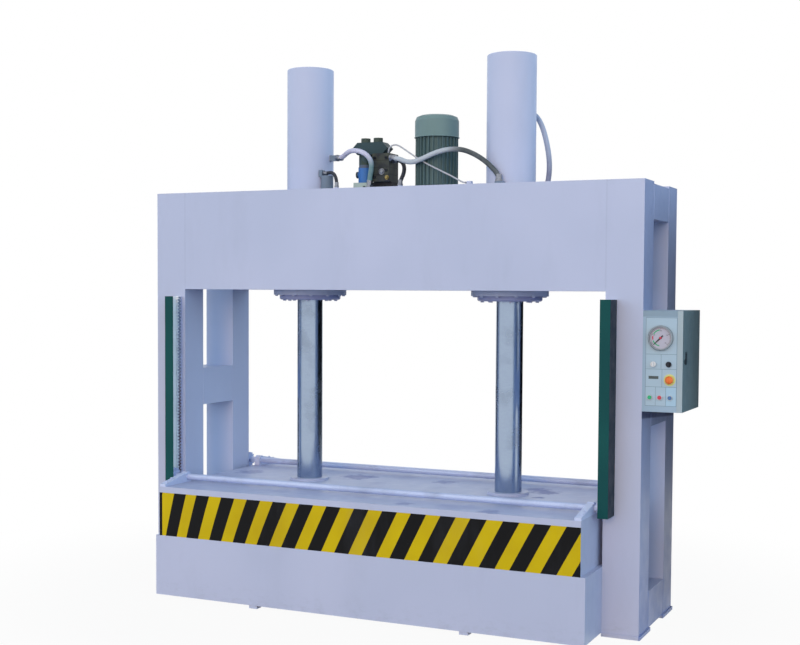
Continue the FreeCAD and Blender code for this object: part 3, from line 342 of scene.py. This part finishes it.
def box_body(finish, colour):
    """Thin printed fields on the switch panel, without any lettering, and a darker top band."""
    x, y, z = finish.axes()
    panel = finish.times(finish.within(y, -0.3556, -0.3544), finish.below(x, 1.6436))
    lip = finish.times(finish.below(y, -0.354), finish.above(z, 1.644), finish.below(x, 1.644))
    colour = finish.mix(finish.times(lip, 0.5), colour, rgb((112, 128, 142)))
    field = finish.times(finish.within(x, PANEL_LEFT, PANEL_RIGHT),
                         finish.within(z, PANEL_LOW, PANEL_HIGH), panel)
    colour = finish.mix(finish.times(field, 0.6), colour, rgb((170, 190, 206)))
    blue = finish.times(finish.within(x, BLUE_LEFT, PANEL_RIGHT),
                        finish.within(z, PANEL_LOW, UNDER_STOP), panel)
    colour = finish.mix(finish.times(blue, 0.8), colour, rgb((158, 188, 212)))
    stop = finish.times(finish.disc(x, z, (1.608, 1.329), 0.0295), finish.below(y, -0.3545),
                        finish.above(z, 1.2))
    colour = finish.mix(finish.times(stop, 0.85), colour, rgb((206, 204, 110)))
    collars = finish.times(finish.within(z, 1.22, 1.26), finish.below(y, -0.3557))
    colour = finish.mix(collars, colour, rgb((186, 192, 198)))
    screen = finish.times(finish.within(x, 1.502, 1.552), finish.within(z, 1.3325, 1.3475), panel)
    colour = finish.mix(screen, colour, rgb((74, 82, 84)))
    lines = [finish.times(finish.within(z, at - HALF_LINE, at + HALF_LINE),
                          finish.within(x, 1.486, 1.6475)) for at in ROW_LINES]
    lines += [finish.times(finish.within(x, at - HALF_LINE, at + HALF_LINE),
                           finish.within(z, low, high)) for at, low, high in UPRIGHT_LINES]
    drawn = lines[0]
    for line in lines[1:]:
        drawn = finish.maths("MAXIMUM", drawn, line)
    return finish.mix(finish.times(drawn, panel, 0.75), colour, rgb((84, 98, 112)))


def door_body(finish, colour):
    """Door painted darker than the switch box as painted shade on the side, its folded edge in
    front lighter, and a dark lock.
    """
    x, y, _ = finish.axes()
    colour = finish.mix(finish.below(y, -0.3545), colour, rgb((158, 172, 182)))
    return finish.mix(finish.above(x, 1.6725), colour, rgb((40, 54, 64)))


def barrel_body(finish, colour):
    """Grey-teal castings where the hoses join."""
    x, y, z = finish.axes()
    left = finish.times(finish.below(x, -0.46), finish.above(x, -0.56), finish.below(y, -0.037),
                        finish.within(z, 2.3, 2.436))
    centre = [finish.maths("SUBTRACT", finish.maths("ABSOLUTE", x), BARREL_X), y]
    far = finish.maths("SQRT", finish.maths("ADD", *[finish.times(s, s) for s in centre]))
    off_wall = finish.times(finish.above(far, 0.1385), finish.within(z, 1.79, 3.0))
    ports = finish.maths("MAXIMUM", finish.times(left, finish.above(far, 0.1375)), off_wall)
    return finish.mix(ports, colour, rgb((104, 118, 138)))


def valve_body(finish, colour):
    """Pale base block, olive stack with joints between its plates, dark teal relief head."""
    x, y, z = finish.axes()
    stack = finish.mix(finish.spread(finish.noise(16.0, 3.0), 0.35, 0.65), rgb((64, 68, 60)),
                       rgb((34, 36, 48)))
    colour = finish.mix(finish.within(z, 2.39, 2.55), colour, stack)
    base = finish.mix(finish.above(x, -0.205), rgb((160, 176, 174)), rgb((28, 28, 36)))
    colour = finish.mix(finish.below(z, 2.3895), colour, base)
    joint = finish.maths("PINGPONG", finish.maths("SUBTRACT", z, 2.39), 0.020)
    seam = finish.times(finish.spread(joint, 0.0008, 0.0020, 1.0, 0.0),
                        finish.within(z, 2.392, 2.548))
    return finish.mix(finish.times(seam, 0.8), colour, rgb((16, 18, 24)))


def coil_body(finish, colour):
    """Blue coil, green-black valve above it and a black nut on its end."""
    x, _, z = finish.axes()
    top = finish.spread(z, 2.474, 2.482)
    colour = finish.mix(top, colour, rgb((34, 56, 50)))
    band = finish.within(z, 2.474, 2.492)
    colour = finish.mix(band, colour, rgb((70, 84, 110)))
    return finish.mix(finish.below(x, -0.3075), colour, rgb((18, 34, 34)))


def fade_body(low, high, along, start, end):
    """Colour that runs from one tone to the other along an axis."""
    def body(finish, colour):
        place = finish.axes()[along]
        return finish.mix(finish.spread(place, start, end, smooth=True), rgb(low), rgb(high))
    return body


LAVENDER, LAVENDER_DARK = (179, 184, 211), (173, 179, 206)
FINISHES = {
    "frame_paint": paint("frame_paint", LAVENDER, LAVENDER_DARK, wear=0.1, body=frame_body),
    "platen_paint": paint("platen_paint", LAVENDER, LAVENDER_DARK, gloss=0.16, wear=0.1,
                          body=platen_body),
    "guard_paint": paint("guard_paint", (22, 82, 80), (16, 68, 70), gloss=0.12, wear=0.06,
                         body=guard_body),
    "ground_steel": metal("ground_steel", (208, 212, 226), (176, 180, 198), 0.42,
                          grain=(0.05, 1.0, 1.0), metallic=0.6, body=rack_body),
    "rod_chrome": metal("rod_chrome", (163, 180, 200), (156, 170, 194), 0.2,
                        grain=(0.4, 0.4, 6.0), scale=90.0, depth=0.000004),
    "shaft_steel": metal("shaft_steel", (196, 206, 236), (180, 192, 226), 0.42,
                         grain=(12.0, 1.0, 1.0), scale=60.0, depth=0.00005, metallic=0.35),
    "motor_paint": paint("motor_paint", (88, 110, 115), (75, 97, 102), rough=0.42, wear=0.25),
    "tank_paint": paint("tank_paint", LAVENDER, LAVENDER_DARK, wear=0.25),
    "valve_body": paint("valve_body", (52, 74, 80), (40, 58, 66), rough=0.48, wear=0.35,
                        body=valve_body),
    "coil_blue": moulded("coil_blue", (44, 100, 172), 0.38, body=coil_body),
    "knob_dark": moulded("knob_dark", (50, 64, 58), 0.45),
    "hose_grey": moulded("hose_grey", (168, 168, 176), 0.5, wear=0.35),
    "hose_black": moulded("hose_black", (30, 32, 44), 0.5, wear=0.15),
    "box_paint": paint("box_paint", (152, 173, 194), (144, 166, 188), rough=0.4, wear=0.06,
                       body=box_body),
    "gauge_rim": metal("gauge_rim", (150, 160, 168), (130, 138, 148), 0.42, metallic=0.6),
    "pointer_black": moulded("pointer_black", (24, 24, 28), 0.4),
    "green_cap": moulded("green_cap", (34, 160, 108), 0.28),
    "red_cap": moulded("red_cap", (186, 44, 70), 0.28),
    "blue_cap": moulded("blue_cap", (70, 108, 160), 0.28),
    "stop_cap": moulded("stop_cap", (220, 106, 34), 0.28),
    "selector_white": moulded("selector_white", (206, 208, 214), 0.3),
    "selector_black": moulded("selector_black", (16, 18, 32), 0.4, wear=0.08),
}
BARREL = paint("barrel_paint", LAVENDER, LAVENDER_DARK, wear=0.1, body=barrel_body)
COWL = paint("cowl_paint", (118, 141, 141), (102, 125, 127), rough=0.4, wear=0.25)
# Painted shade: the door on the switch box's right side gets a darker copy of the box's paint.
SHADED_DOOR_PAINT = paint("door_paint_shaded", (120, 138, 145), (110, 129, 137), rough=0.42, wear=0.06,
             body=door_body)
BRACKET = paint("bracket_paint", (196, 202, 230), (188, 196, 226), wear=0.12)
# Painted shade: the glands get a darker copy of the lavender, as if shaded by the beam above.
SHADED_GLAND_PAINT = paint("gland_paint_shaded", (146, 152, 192), (136, 142, 184), wear=0.1)
HOSE_SKINS = {
    "left_feed_hose": moulded("left_feed_hose", (176, 176, 196), 0.45, wear=0.2,
                              body=fade_body((96, 128, 130), (186, 184, 208), 2, 2.46, 2.55)),
    "right_feed_hose": moulded("right_feed_hose", (150, 156, 170), 0.4, wear=0.2,
                               body=fade_body((170, 176, 186), (62, 68, 72), 0, 0.27, 0.42)),
    "right_upper_hose": moulded("right_upper_hose", (150, 160, 184), 0.4, wear=0.2,
                                body=fade_body((108, 110, 138), (150, 160, 184), 2, 2.36, 2.62)),
}
ZINC = metal("zinc_bolts", (170, 174, 184), (128, 132, 144), 0.32, scale=120.0)
DARK_BOLTS = metal("dark_bolts", (70, 74, 82), (46, 50, 58), 0.4, scale=120.0)
BRASS = metal("brass_fittings", (176, 160, 110), (140, 124, 80), 0.3, scale=120.0)

OWN_FINISH = {"left_cylinder": BARREL, "right_cylinder": BARREL, "motor_cowl": COWL,
              "control_door": SHADED_DOOR_PAINT,
              **{name: BRACKET for name in nodes if name.endswith("_bracket")},
              **{name: SHADED_GLAND_PAINT for name in nodes if name.endswith("_gland")}}

for name, thing in nodes.items():
    thing.data.materials.clear()
    thing.data.materials.append(OWN_FINISH.get(name, FINISHES[slot_of[name]]))


# ---------------------------------------------------------------- hoses
HOSES = (
    # node, radius, length, route
    ("left_port_hose", 0.010, 0.196, (
        (-0.500, -0.080, 2.447), (-0.476, -0.080, 2.447), (-0.450, -0.088, 2.450),
        (-0.424, -0.102, 2.444), (-0.401, -0.120, 2.427), (-0.384, -0.138, 2.402),
        (-0.377, -0.148, 2.380), (-0.377, -0.148, 2.358))),
    ("left_feed_hose", 0.014, 0.501, (
        (-0.194, -0.093, 2.358), (-0.194, -0.093, 2.388), (-0.187, -0.100, 2.424),
        (-0.173, -0.112, 2.458), (-0.168, -0.122, 2.494), (-0.181, -0.130, 2.526),
        (-0.212, -0.132, 2.551), (-0.256, -0.122, 2.565), (-0.304, -0.098, 2.570),
        (-0.350, -0.062, 2.565), (-0.392, -0.024, 2.552), (-0.424, -0.004, 2.541),
        (-0.453, -0.004, 2.541))),
    ("right_feed_hose", 0.014, 0.807, (
        (-0.078, -0.064, 2.522), (-0.048, -0.064, 2.522), (-0.008, -0.078, 2.511),
        (0.034, -0.100, 2.495), (0.080, -0.122, 2.487), (0.124, -0.138, 2.491),
        (0.178, -0.147, 2.509), (0.248, -0.152, 2.534), (0.325, -0.155, 2.548),
        (0.405, -0.157, 2.542), (0.475, -0.160, 2.514), (0.536, -0.162, 2.476),
        (0.584, -0.163, 2.434), (0.611, -0.164, 2.402), (0.620, -0.164, 2.380),
        (0.620, -0.164, 2.360))),
    ("right_upper_hose", 0.0145, 0.649, (
        (0.616, 0.160, 2.776), (0.652, 0.160, 2.776), (0.700, 0.149, 2.763),
        (0.742, 0.126, 2.728), (0.774, 0.102, 2.678), (0.798, 0.082, 2.622),
        (0.820, 0.062, 2.556), (0.836, 0.044, 2.486), (0.842, 0.028, 2.414),
        (0.836, 0.012, 2.344), (0.826, 0.002, 2.296), (0.826, 0.002, 2.262))),
    ("gauge_line", 0.0045, 0.621, (
        (-0.090, -0.060, 2.550), (-0.090, -0.060, 2.566), (-0.082, -0.062, 2.583),
        (-0.062, -0.066, 2.594), (-0.036, -0.070, 2.595), (-0.006, -0.077, 2.582),
        (0.036, -0.089, 2.556), (0.092, -0.106, 2.522), (0.146, -0.121, 2.492),
        (0.200, -0.133, 2.464), (0.256, -0.143, 2.438), (0.312, -0.150, 2.412),
        (0.364, -0.155, 2.386), (0.396, -0.158, 2.368), (0.418, -0.158, 2.360),
        (0.436, -0.158, 2.360))),
    ("return_hose", 0.0115, 0.247, (
        (-0.078, -0.020, 2.512), (-0.052, -0.020, 2.512), (-0.024, -0.030, 2.505),
        (0.000, -0.048, 2.485), (0.016, -0.072, 2.456), (0.022, -0.098, 2.423),
        (0.018, -0.118, 2.396), (0.014, -0.124, 2.376), (0.014, -0.124, 2.358))),
)


def lathe(bm, start, along, profile, segments=20):
    """Rings of (distance along the axis, radius) joined into a turned body."""
    along = Vector(along).normalized()
    turn = along.to_track_quat("Z", "Y").to_matrix()
    rings = []
    for distance, radius in profile:
        rings.append([bm.verts.new(Vector(start) + along * distance + turn @ Vector(
            (radius * math.cos(2 * math.pi * i / segments),
             radius * math.sin(2 * math.pi * i / segments), 0))) for i in range(segments)])
    for ring, following in zip(rings, rings[1:]):
        for i in range(segments):
            j = (i + 1) % segments
            bm.faces.new((ring[i], ring[j], following[j], following[i]))
    bm.faces.new(rings[0][::-1])
    bm.faces.new(rings[-1])


def finish_piece(name, bm, body, material, smooth=False):
    """Turns a bmesh into a piece that rides on a body."""
    bmesh.ops.recalc_face_normals(bm, faces=bm.faces)
    data = bpy.data.meshes.new(name)
    bm.to_mesh(data)
    bm.free()
    thing = bpy.data.objects.new(name, data)
    scene.collection.objects.link(thing)
    data.materials.append(material)
    if smooth:
        data.polygons.foreach_set("use_smooth", [True] * len(data.polygons))
        data.set_sharp_from_angle(angle=math.radians(40))
    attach(thing, body)
    return thing


def make_hose(node, radius, length, route):
    """Hose along its route, with a ferrule and a nut at each end."""
    data = bpy.data.curves.new(node + "_run", "CURVE")
    data.dimensions = "3D"
    spline = data.splines.new("NURBS")
    spline.points.add(len(route) - 1)
    for point, place in zip(spline.points, route):
        point.co = (*place, 1)
    spline.order_u = 3
    spline.use_endpoint_u = True
    data.resolution_u = 10
    data.bevel_depth = radius
    data.bevel_resolution = 5
    data.use_fill_caps = True
    data.materials.append(HOSE_SKINS.get(node, FINISHES[slot_of[node]]))
    hose = bpy.data.objects.new(node + "_run", data)
    scene.collection.objects.link(hose)
    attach(hose, "frame")
    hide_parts(node)
    ends = bmesh.new()
    for tip, inner in ((0, 1), (-1, -2)):
        end = Vector(route[tip])
        along = (Vector(route[inner]) - end).normalized()
        lathe(ends, end, along, ((0, radius * 1.5), (radius * 0.9, radius * 1.5)), 6)
        lathe(ends, end + along * radius * 0.9, along,
              ((0, radius * 1.18), (radius * 1.8, radius * 1.18), (radius * 2.0, radius * 1.08)))
    ferrules = finish_piece(node + "_ends", ends, "frame", ZINC, smooth=True)


for hose in HOSES:
    make_hose(*hose)


# ---------------------------------------------------------------- small fittings
def hex_bolt(bm, place, along, radius, height):
    """Hexagon head on a washer."""
    along = Vector(along).normalized()
    lathe(bm, place, along, ((0, radius * 1.3), (height * 0.2, radius * 1.3)), 16)
    lathe(bm, Vector(place) + along * height * 0.2, along,
          ((0, radius), (height * 0.68, radius), (height * 0.8, radius * 0.85)), 6)


def socket_screw(bm, place, along, radius, height):
    """Round head with its recess."""
    lathe(bm, place, along, ((0, radius), (height * 0.88, radius), (height, radius * 0.88),
                             (height, radius * 0.55), (height * 0.5, radius * 0.5)), 14)


def bead(bm, corners, radius):
    """Weld bead that follows a closed run of corners."""
    for start, stop in zip(corners, corners[1:] + corners[:1]):
        start, stop = Vector(start), Vector(stop)
        lathe(bm, start, stop - start, ((0, radius), ((stop - start).length, radius)), 8)


def ring_of(count, centre, radius, turn=0.0):
    """Places spread evenly round a level circle."""
    steps = (turn + 2 * math.pi * number / count for number in range(count))
    return [(centre[0] + radius * math.cos(a), centre[1] + radius * math.sin(a), centre[2])
            for a in steps]


def add_bolts():
    """Bolts of flanges, motor, lid and valves, and the screws of the shaft brackets."""
    heads, dark = bmesh.new(), bmesh.new()
    for side in (-1, 1):
        for place in ring_of(8, (side * BARREL_X, 0, 1.712), 0.152, math.pi / 8):
            socket_screw(heads, place, (0, 0, -1), 0.010, 0.007)
        for place in ring_of(12, (side * BARREL_X, 0, 1.740), 0.198):
            hex_bolt(heads, place, (0, 0, -1), 0.0095, 0.007)
    for place in ring_of(4, (0.184, 0, 2.355), 0.1025, math.pi / 4):
        hex_bolt(dark, place, (0, 0, 1), 0.0055, 0.006)
    for x in (-0.375, -0.205, -0.035, 0.135, 0.305, 0.460):
        for y in (-0.186, 0.186):
            hex_bolt(dark, (x, y, 2.343), (0, 0, 1), 0.007, 0.006)
    for x, z in ((-0.168, 2.416), (-0.168, 2.524), (-0.096, 2.524), (-0.096, 2.452)):
        socket_screw(dark, (x, -0.078, z), (0, -1, 0), 0.0085, 0.008)
    for x, z in ((-0.250, 2.362), (-0.130, 2.362)):
        socket_screw(dark, (x, -0.045, z), (0, -1, 0), 0.008, 0.008)
    finish_piece("flange_bolts", heads, "frame", FINISHES["frame_paint"],
                 smooth=True)
    finish_piece("cover_bolts", dark, "frame", DARK_BOLTS, smooth=True)
    plugs = bmesh.new()
    hex_bolt(plugs, (-0.124, -0.078, 2.446), (0, -1, 0), 0.014, 0.012)
    hex_bolt(plugs, (-0.216, -0.045, 2.366), (0, -1, 0), 0.010, 0.010)
    finish_piece("valve_plugs", plugs, "frame", ZINC, smooth=True)
    brass = bmesh.new()
    hex_bolt(brass, (-0.091, -0.078, 2.412), (0, -1, 0), 0.010, 0.012)
    finish_piece("valve_bleed", brass, "frame", BRASS, smooth=True)
    for end, name in ((-1, "front"), (1, "rear")):
        for side, hand in ((-1, "left"), (1, "right")):
            screws = bmesh.new()
            for y in (0.55, 0.60):
                hex_bolt(screws, (side * 1.2385, end * y, 0.640 + 0.056 * (0.644 - y) / 0.229
                                  + 0.0105), (0, 0.2 * end, 1), 0.0065, 0.006)
            finish_piece(f"{name}_{hand}_bracket_bolts", screws, "platen", BRACKET,
                         smooth=True)


def add_beads():
    """Weld beads at the feet, where the ties meet the posts, and round the rod seats."""
    beads = bmesh.new()
    for side in (-1, 1):
        inner, outer = side * POST_INNER, side * POST_OUTER
        for near, far in ((-0.355, -0.165), (0.165, 0.355)):
            bead(beads, [(inner, near, 0.019), (outer, near, 0.019),
                         (outer, far, 0.019), (inner, far, 0.019)], 0.0025)
        for y in (-0.165, 0.165):
            for low, high in ((0.018, 0.210), (1.074, 1.294), (2.142, 2.323)):
                bead(beads, [(inner, y, low), (outer, y, low), (outer, y, high),
                             (inner, y, high)], 0.0016)
    finish_piece("frame_beads", beads, "frame", FINISHES["frame_paint"],
                 smooth=True)
    seats = bmesh.new()
    for side in (-1, 1):
        bead(seats, ring_of(28, (side * BARREL_X, 0, 0.6405), 0.1155), 0.002)
    finish_piece("seat_beads", seats, "platen", FINISHES["platen_paint"],
                 smooth=True)


def slab(bm, low, high, edge):
    """Plate between two corners, with its edges softened by a width."""
    made = bmesh.ops.create_cube(bm, size=1.0)["verts"]
    size = [b - a for a, b in zip(low, high)]
    middle = [(a + b) / 2 for a, b in zip(low, high)]
    bmesh.ops.scale(bm, vec=size, verts=made)
    bmesh.ops.translate(bm, vec=middle, verts=made)
    edges = list({line for vert in made for line in vert.link_edges})
    bmesh.ops.bevel(bm, geom=edges, offset=edge, segments=2, affect="EDGES")


GAUGE = Vector((1.562, -0.3634, 1.539))
DIAL_START, DIAL_SWEEP, DIAL_MARKS = 225, 270, 40
SCALE_RADIUS = 0.0495
FIELD_RADII = (0.0370, 0.0425)


def dial_point(angle, radius, out):
    """Place on the dial, with the angle in degrees and the lift off its face."""
    turn = math.radians(angle)
    return GAUGE + Vector((radius * math.cos(turn), -out, radius * math.sin(turn)))


def dial_arc(bm, start, stop, inner, outer, out):
    """Flat band of the dial between two angles."""
    count = max(2, int(abs(stop - start) / 5))
    rims = [[bm.verts.new(dial_point(start + (stop - start) * n / count, radius, out))
             for n in range(count + 1)] for radius in (inner, outer)]
    for n in range(count):
        bm.faces.new((rims[0][n], rims[0][n + 1], rims[1][n + 1], rims[1][n]))


def add_gauge_dial():
    """Printed dial: scale, numbers, green fields and the hub's cover."""
    plate = bmesh.new()
    lathe(plate, GAUGE + Vector((0, 0.0003, 0)), (0, -1, 0), ((0, 0.0546), (0.0005, 0.0546)), 48)
    finish_piece("gauge_dial", plate, "frame", DIAL_WHITE)
    marks = bmesh.new()
    for number in range(DIAL_MARKS + 1):
        angle = DIAL_START - DIAL_SWEEP * number / DIAL_MARKS
        long = number % 10 == 0
        dial_arc(marks, angle - 0.5 - 0.5 * long, angle + 0.5 + 0.5 * long,
                 0.0425 if long else 0.0455, SCALE_RADIUS, 0.0004)
    dial_arc(marks, DIAL_START, DIAL_START - DIAL_SWEEP, SCALE_RADIUS, 0.0502, 0.0004)
    for number in range(5):
        label = bpy.data.curves.new("figure", "FONT")
        label.body = str(number * 10)
        label.size = 0.0095
        label.align_x, label.align_y = "CENTER", "CENTER"
        label.resolution_u = 2
        drawn = bpy.data.objects.new("figure", label)
        shape = bpy.data.meshes.new_from_object(drawn)
        spot = dial_point(DIAL_START - DIAL_SWEEP * number / 4, 0.0355, 0.0004)
        shape.transform(Matrix.Translation(spot) @ Matrix.Rotation(math.pi / 2, 4, "X"))
        marks.from_mesh(shape)
        bpy.data.objects.remove(drawn)
        bpy.data.curves.remove(label)
        bpy.data.meshes.remove(shape)
    finish_piece("gauge_scale", marks, "frame", FINISHES["pointer_black"])
    fields = bmesh.new()
    dial_arc(fields, 98, 152, *FIELD_RADII, 0.0003)
    dial_arc(fields, 200, 262, *FIELD_RADII, 0.0003)
    finish_piece("gauge_fields", fields, "frame", FINISHES["green_cap"])
    red = bmesh.new()
    dial_arc(red, 166, 194, *FIELD_RADII, 0.0003)
    finish_piece("gauge_limit", red, "frame", FINISHES["red_cap"])
    hub = bmesh.new()
    lathe(hub, GAUGE + Vector((0, -0.0052, 0)), (0, -1, 0),
          ((0, 0.0062), (0.0012, 0.0062), (0.0020, 0.0050)), 20)
    finish_piece("gauge_hub", hub, "pointer", FINISHES["red_cap"], smooth=True)


def add_door_latch():
    """Recessed swing handle beside the door's lock."""
    plate = bmesh.new()
    slab(plate, (1.6718, -0.300, 1.404), (1.6740, -0.262, 1.468), 0.0006)
    slab(plate, (1.6736, -0.290, 1.412), (1.6765, -0.272, 1.460), 0.0010)
    finish_piece("door_latch", plate, "door", LATCH, smooth=True)


DIAL_WHITE = moulded("dial_white", (172, 170, 188), 0.4, wear=0.1)
LATCH = moulded("door_latch", (44, 58, 70), 0.4, wear=0.2)
add_bolts()
add_beads()
add_gauge_dial()
add_door_latch()


# ---------------------------------------------------------------- studio
SKY_LOW, SKY_OVERHEAD = (1.48, 2.03, 2.40, 1), (0.18, 0.23, 0.33, 1)


def seen_directly(tree):
    """1 for camera, glossy and transmission rays, 0 for the rays that light the object."""
    paths = tree.nodes.new("ShaderNodeLightPath").outputs
    seen = paths["Is Camera Ray"]
    for label in ("Is Glossy Ray", "Is Transmission Ray"):
        either = tree.nodes.new("ShaderNodeMath")
        either.operation = "MAXIMUM"
        tree.links.new(seen, either.inputs[0])
        tree.links.new(paths[label], either.inputs[1])
        seen = either.outputs[0]
    return seen


def set_world():
    """White where it is seen; a soft blue sky, brightest low down, where it lights the press."""
    world = bpy.data.worlds.new("studio")
    world.use_nodes = True
    scene.world = world
    tree = world.node_tree
    tree.nodes.clear()
    white = tree.nodes.new("ShaderNodeBackground")
    white.inputs[0].default_value = (1, 1, 1, 1)
    height = tree.nodes.new("ShaderNodeSeparateXYZ")
    tree.links.new(tree.nodes.new("ShaderNodeTexCoord").outputs["Generated"], height.inputs[0])
    sky = tree.nodes.new("ShaderNodeMix")
    sky.data_type = "RGBA"
    tree.links.new(height.outputs[2], sky.inputs[0])
    sky.inputs[6].default_value = SKY_LOW
    sky.inputs[7].default_value = SKY_OVERHEAD
    fill = tree.nodes.new("ShaderNodeBackground")
    tree.links.new(sky.outputs[2], fill.inputs[0])
    both = tree.nodes.new("ShaderNodeMixShader")
    tree.links.new(seen_directly(tree), both.inputs[0])
    tree.links.new(fill.outputs[0], both.inputs[1])
    tree.links.new(white.outputs[0], both.inputs[2])
    out = tree.nodes.new("ShaderNodeOutputWorld")
    tree.links.new(both.outputs[0], out.inputs[0])


def stage_plane(name, width, height, place, turn, material):
    """Flat piece of the studio that isn't part of the press."""
    bm = bmesh.new()
    bmesh.ops.create_grid(bm, x_segments=1, y_segments=1, size=0.5)
    bmesh.ops.scale(bm, vec=(width, height, 1), verts=bm.verts)
    bmesh.ops.transform(bm, matrix=Matrix.Translation(place) @ turn.to_matrix().to_4x4(),
                        verts=bm.verts)
    data = bpy.data.meshes.new(name)
    bm.to_mesh(data)
    bm.free()
    data.materials.append(material)
    plane = bpy.data.objects.new(name, data)
    scene.collection.objects.link(plane)
    return plane


def set_floor():
    """Pale floor that fades to the white of the surroundings away from the press."""
    finish = Finish("studio_floor", (124, 124, 130), 0.9)
    far = finish.add("ShaderNodeVectorMath", {0: finish.where},
                     operation="LENGTH").outputs["Value"]
    share = finish.spread(far, 1.6, 3.4, 0.95, 1.0, smooth=True)
    seen = finish.maths("MULTIPLY", seen_directly(finish.tree), share)
    glow = finish.add("ShaderNodeEmission", {"Color": (1, 1, 1, 1), "Strength": 1.0}).outputs[0]
    both = finish.add("ShaderNodeMixShader", {0: seen, 1: finish.shader.outputs[0],
                                              2: glow}).outputs[0]
    finish.tree.links.new(both, finish.tree.nodes["Material Output"].inputs["Surface"])
    stage_plane("studio_floor", 60, 60, (0, 0, 0), Vector((0, 0, 1)).to_track_quat("Z", "Y"),
                finish.material)


def set_cards():
    """Dark cards that only shine reflects, and a flag that shades the right frame."""
    finish = Finish("studio_card", (10, 10, 14), 1.0, Specular_IOR_Level=0.0)
    for name, width, place, toward in (("right", 4.0, (3.6, 2.6, 1.5), (-0.84, -0.54, 0)),
                                       ("rear", 5.2, (2.45, 5.2, 1.3), (-0.1, -1, 0)),
                                       ("left", 3.4, (-5.0, 1.6, 1.5), (1, -0.3, 0))):
        card = stage_plane(f"studio_{name}_card", width, 3.4, place,
                           Vector(toward).to_track_quat("Z", "Y"), finish.material)
        card.visible_camera = card.visible_diffuse = card.visible_shadow = False
        card.visible_transmission = False
    flag = stage_plane("studio_flag", 1.4, 2.1, (2.02, 0.55, 1.20),
                       Vector((-1, 0, 0)).to_track_quat("Z", "Y"), finish.material)
    flag.visible_camera = flag.visible_glossy = flag.visible_transmission = False


def add_sun(name, toward, energy, spread, colour):
    """Sun that shines from a direction; shine doesn't show it."""
    sun = bpy.data.lights.new(name, "SUN")
    sun.energy = energy
    sun.angle = math.radians(spread)
    sun.color = colour
    lamp = bpy.data.objects.new(name, sun)
    lamp.rotation_euler = Vector(toward).to_track_quat("Z", "Y").to_euler()
    lamp.visible_glossy = False
    scene.collection.objects.link(lamp)


set_world()
set_floor()
set_cards()
add_sun("key", (0.08, -0.95, 0.21), 1.36, 30, (1.0, 0.60, 0.25))
add_sun("fill", (0.0, 0.97, 0.24), 0.50, 40, (1.0, 0.66, 0.36))
